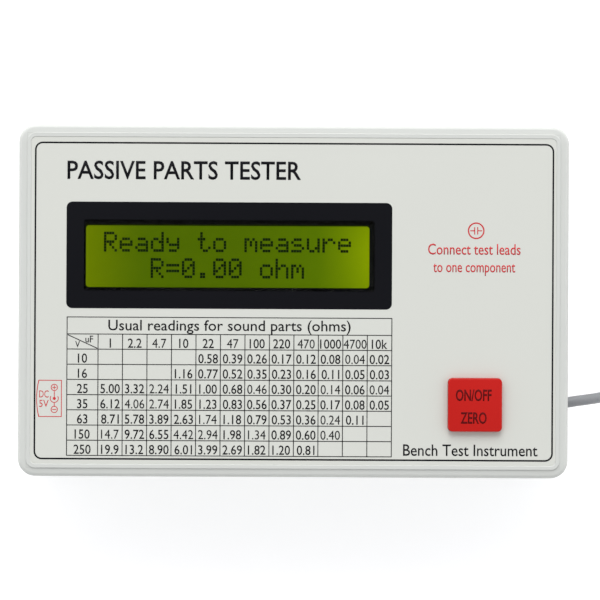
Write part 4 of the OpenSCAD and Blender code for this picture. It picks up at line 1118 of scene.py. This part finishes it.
twist_l = 9 * MM
strand_w, strand_t = 1.3 * MM, 0.45 * MM
bpy.ops.mesh.primitive_cube_add(size=1)
strand = bpy.context.object
strand.data.transform(Matrix.Diagonal((strand_w, strand_t, twist_l, 1)))
with editing(strand, edges=upright_edge):
    bpy.ops.mesh.bevel(offset=0.15 * MM, segments=2, affect="EDGES")
with editing(strand, edges=upright_edge):
    bpy.ops.mesh.subdivide(number_cuts=36)
strands = [copy_to(strand, Matrix.Translation((0, side * strand_t * 0.55, 0))) for side in (-1, 1)]
bpy.data.objects.remove(strand)
twist = joined("twist", strands)
bpy.context.view_layer.objects.active = twist
for method, axis, angle in (("TWIST", "Z", 900), ("BEND", "X", 75)):
    turn = twist.modifiers.new(method, "SIMPLE_DEFORM")
    turn.deform_method = method
    turn.deform_axis = axis
    turn.angle = math.radians(angle)
    bpy.ops.object.modifier_apply(modifier=turn.name)
stand_up = tipped(-90)
twist.data.transform(Matrix.Translation((0, coil_height + tie_t + twist_l * 0.28, 0)) @ stand_up)
coil_tie = joined("coil_tie", [tie_band, twist])
tie_middle_r = coil_r - 2 * cable_d / 2
tie_place = Matrix.Translation((
    coil_x + tie_middle_r * math.cos(tie_at), coil_y + tie_middle_r * math.sin(tie_at), 0.01 * MM
))
upright = tipped(90)
coil_tie.data.transform(tie_place @ Matrix.Rotation(tie_at, 4, "Z") @ upright)
bpy.context.view_layer.objects.active = coil_tie
coil_tie.select_set(True)
bpy.ops.object.shade_smooth_by_angle(angle=smooth_angle)
coil_tie.select_set(False)
fit_on(coil_tie, white_plastic, "case", "white_plastic")


# ---- Splitter ----
# A soft vinyl boot, moulded round the end of the cable, where its two cores part into the test leads.
# Ribs at its narrow end let it flex with the cable.

splitter_low, splitter_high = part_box("lead_splitter")
splitter_h = (splitter_high.z - splitter_low.z) / 2
splitter_w = (splitter_high.x - splitter_low.x) / 2
neck_r = 2.0 * MM
rib_deep = 0.4 * MM
ribs = 4
rib_pitch = 1.1 * MM
splitter_sections = [(0, neck_r - 0.2 * MM), (0.2 * MM, neck_r)]
for rib in range(ribs):
    start = 0.7 * MM + rib * rib_pitch
    splitter_sections += [
        (start, neck_r), (start + 0.1 * MM, neck_r - rib_deep), (start + 0.5 * MM, neck_r - rib_deep),
        (start + 0.6 * MM, neck_r),
    ]
body_start = splitter_sections[-1][0] + 0.3 * MM
body_end = splitter_high.y - splitter_low.y
for step in range(7):
    share = step / 6
    ease = share * share * (3 - 2 * share)
    splitter_sections.append((
        body_start + (body_end - 1.2 * MM - body_start) * share,
        neck_r + (splitter_w - neck_r) * ease, neck_r + (splitter_h - neck_r) * ease,
    ))
splitter_sections += [
    (body_end - 0.35 * MM, splitter_w - 0.1 * MM, splitter_h - 0.1 * MM),
    (body_end, splitter_w - 0.5 * MM, splitter_h - 0.5 * MM),
]
splitter = drawn_out("split_boot", splitter_sections)
lay_along_y = tipped(-90)
splitter.data.transform(
    Matrix.Translation(((splitter_low.x + splitter_high.x) / 2, splitter_low.y, splitter_low.z + splitter_h))
    @ lay_along_y
)
boot_vinyl = moulded("boot_vinyl", (0.03, 0.03, 0.032, 1), 0.5, contrast=0.25, depth=0.03 * MM)
fit_on(splitter, boot_vinyl, "case", "cable_jacket", "lead_splitter")


# ---- Test leads ----
# Two soft silicone leads, red and black, run side by side in a loose curve from the splitter to the probes.

lead_d = 2.0 * MM
red_route = in_metres([
    (77.6, 39, 2.2), (77.6, 42.5, 1.6), (78.5, 46.6, 1.2), (81.2, 50, 1.1), (85.4, 51, 1.1),
    (89.4, 49.2, 1.1), (92, 45, 1.1), (93.8, 39.6, 1.1), (96, 34.2, 1.1), (99.8, 30.6, 1.1),
    (104.2, 31.4, 1.1), (107, 35, 1.1), (108.3, 39.6, 1.1), (109, 44.4, 1.1), (110.6, 48.8, 1.1),
    (114, 51.8, 1.1), (118.4, 52.75, 1.1), (123, 52.75, 1.1), (127.6, 52.3, 1.1), (131.6, 50.9, 1.4),
    (134.2, 48.6, 2.3), (135, 46.2, 3.5), (135, 44, 4.3),
])
black_route = in_metres([
    (80, 39, 2.2), (80.1, 42, 1.6), (81.4, 45.4, 1.2), (84.8, 47.4, 1.1), (88.3, 45.6, 1.1),
    (90.2, 41.6, 1.1), (91.8, 36, 1.1), (93.6, 30.4, 1.1), (96.8, 25.8, 1.1), (101.8, 23.4, 1.1),
    (106.8, 24.8, 1.1), (110, 29, 1.1), (111.4, 34.4, 1.1), (112, 39.6, 1.1), (112.3, 44, 1.1),
    (113.6, 47.6, 1.2), (116.6, 49.6, 1.5), (119.8, 48.7, 2.4), (121, 46.2, 3.5), (121, 44, 4.3),
])
red_jacket = jacket("lead_red", (0.52, 0.016, 0.012, 1), 0.45)
black_jacket = jacket("lead_black", (0.018, 0.018, 0.02, 1), 0.45)


# ---- Probes ----
# Two turned-looking handles moulded in hard plastic, with grip rings, a finger guard and a soft ribbed tail.
# A nickel-plated steel tip is moulded into the nose of each.

grip_r = 4.6 * MM
grip_l = 62 * MM
guard_r = 6.5 * MM
guard_t = 2.5 * MM
nose_l = 14 * MM
nose_r = 2.2 * MM
tail_l = 10 * MM
tail_r = 1.7 * MM
tip_r = 1.03 * MM
tip_pocket = 9.9 * MM
groove = 0.35 * MM
probe_y = 34 * MM
probe_lift = 0.03 * MM
probe_tilt = math.asin((guard_r - grip_r) / (grip_l + guard_t / 2))


def grooves(start, count, pitch, radius, deep):
    """Rounded grooves cut into a round grip, as sections from its rear end."""
    cut = []
    for place in (start + pitch * i for i in range(count)):
        cut += [
            (place + pitch * share, radius - deep * depth)
            for share, depth in ((0, 0), (0.06, 0.5), (0.16, 0.95), (0.28, 0.95), (0.38, 0.5), (0.44, 0))
        ]
    return cut


handle_sections = [(-tail_l, tail_r - 0.2 * MM), (-tail_l + 0.2 * MM, tail_r)]
handle_sections += grooves(-tail_l + 1.2 * MM, 4, 2.0 * MM, tail_r + 0.3 * MM, 0.6 * MM)
handle_sections += [
    (-0.2 * MM, tail_r + 0.6 * MM), (0, grip_r - 0.8 * MM), (0.25 * MM, grip_r - 0.3 * MM),
    (0.8 * MM, grip_r),
]
handle_sections += grooves(4 * MM, 4, 2.6 * MM, grip_r, groove)
handle_sections += [(20 * MM, grip_r), (30 * MM, grip_r - 0.25 * MM), (38 * MM, grip_r - 0.25 * MM)]
handle_sections += grooves(42 * MM, 7, 2.6 * MM, grip_r - 0.05 * MM, groove)
front = grip_l + guard_t
handle_sections += [
    (grip_l, grip_r), (grip_l, guard_r - 0.4 * MM), (grip_l + 0.12 * MM, guard_r - 0.12 * MM),
    (grip_l + 0.4 * MM, guard_r), (front - 0.4 * MM, guard_r), (front - 0.12 * MM, guard_r - 0.12 * MM),
    (front, guard_r - 0.4 * MM), (front, nose_r + 1.4 * MM), (front + nose_l * 0.5, nose_r + 0.75 * MM),
    (front + nose_l - 0.4 * MM, nose_r), (front + nose_l, nose_r - 0.35 * MM), (front + nose_l, tip_r),
    (front + nose_l - tip_pocket, tip_r),
]
handle = drawn_out("handle", handle_sections)
nose_down_y = tipped(90)
tip_steel = plated("tip_steel", (0.74, 0.73, 0.7, 1), 0.18)
handles = {}
for side, colour, route, jacket_finish, length in (
    ("red", (0.56, 0.02, 0.016, 1), red_route, red_jacket, 0.131),
    ("black", (0.02, 0.02, 0.022, 1), black_route, black_jacket, 0.118),
):
    middle_x = sum(corner.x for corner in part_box(f"{side}_probe_handle")) / 2
    laid = Matrix.Translation((middle_x, probe_y, grip_r + probe_lift))
    laid = laid @ Matrix.Rotation(-probe_tilt, 4, "X") @ nose_down_y
    handles[side] = copy_to(handle, laid)
    handles[side].name = f"{side}_grip"
    grip_plastic = moulded(f"probe_{side}", colour, 0.32, scale=2200.0, depth=0.015 * MM, contrast=0.1)
    dress(tip_steel, f"{side}_probe_tip")
    fit_on(handles[side], grip_plastic, "case", f"probe_{side}", f"{side}_probe_handle")
    inside_grip = [laid @ Vector((0, 0, depth)) for depth in (2 * MM, 12 * MM, 23 * MM)]
    lead = cord_curve(f"{side}_test_lead", route + inside_grip, lead_d)
    fit_on(lead, jacket_finish, "case", f"lead_{side}", f"{side}_lead")
bpy.data.objects.remove(handle)
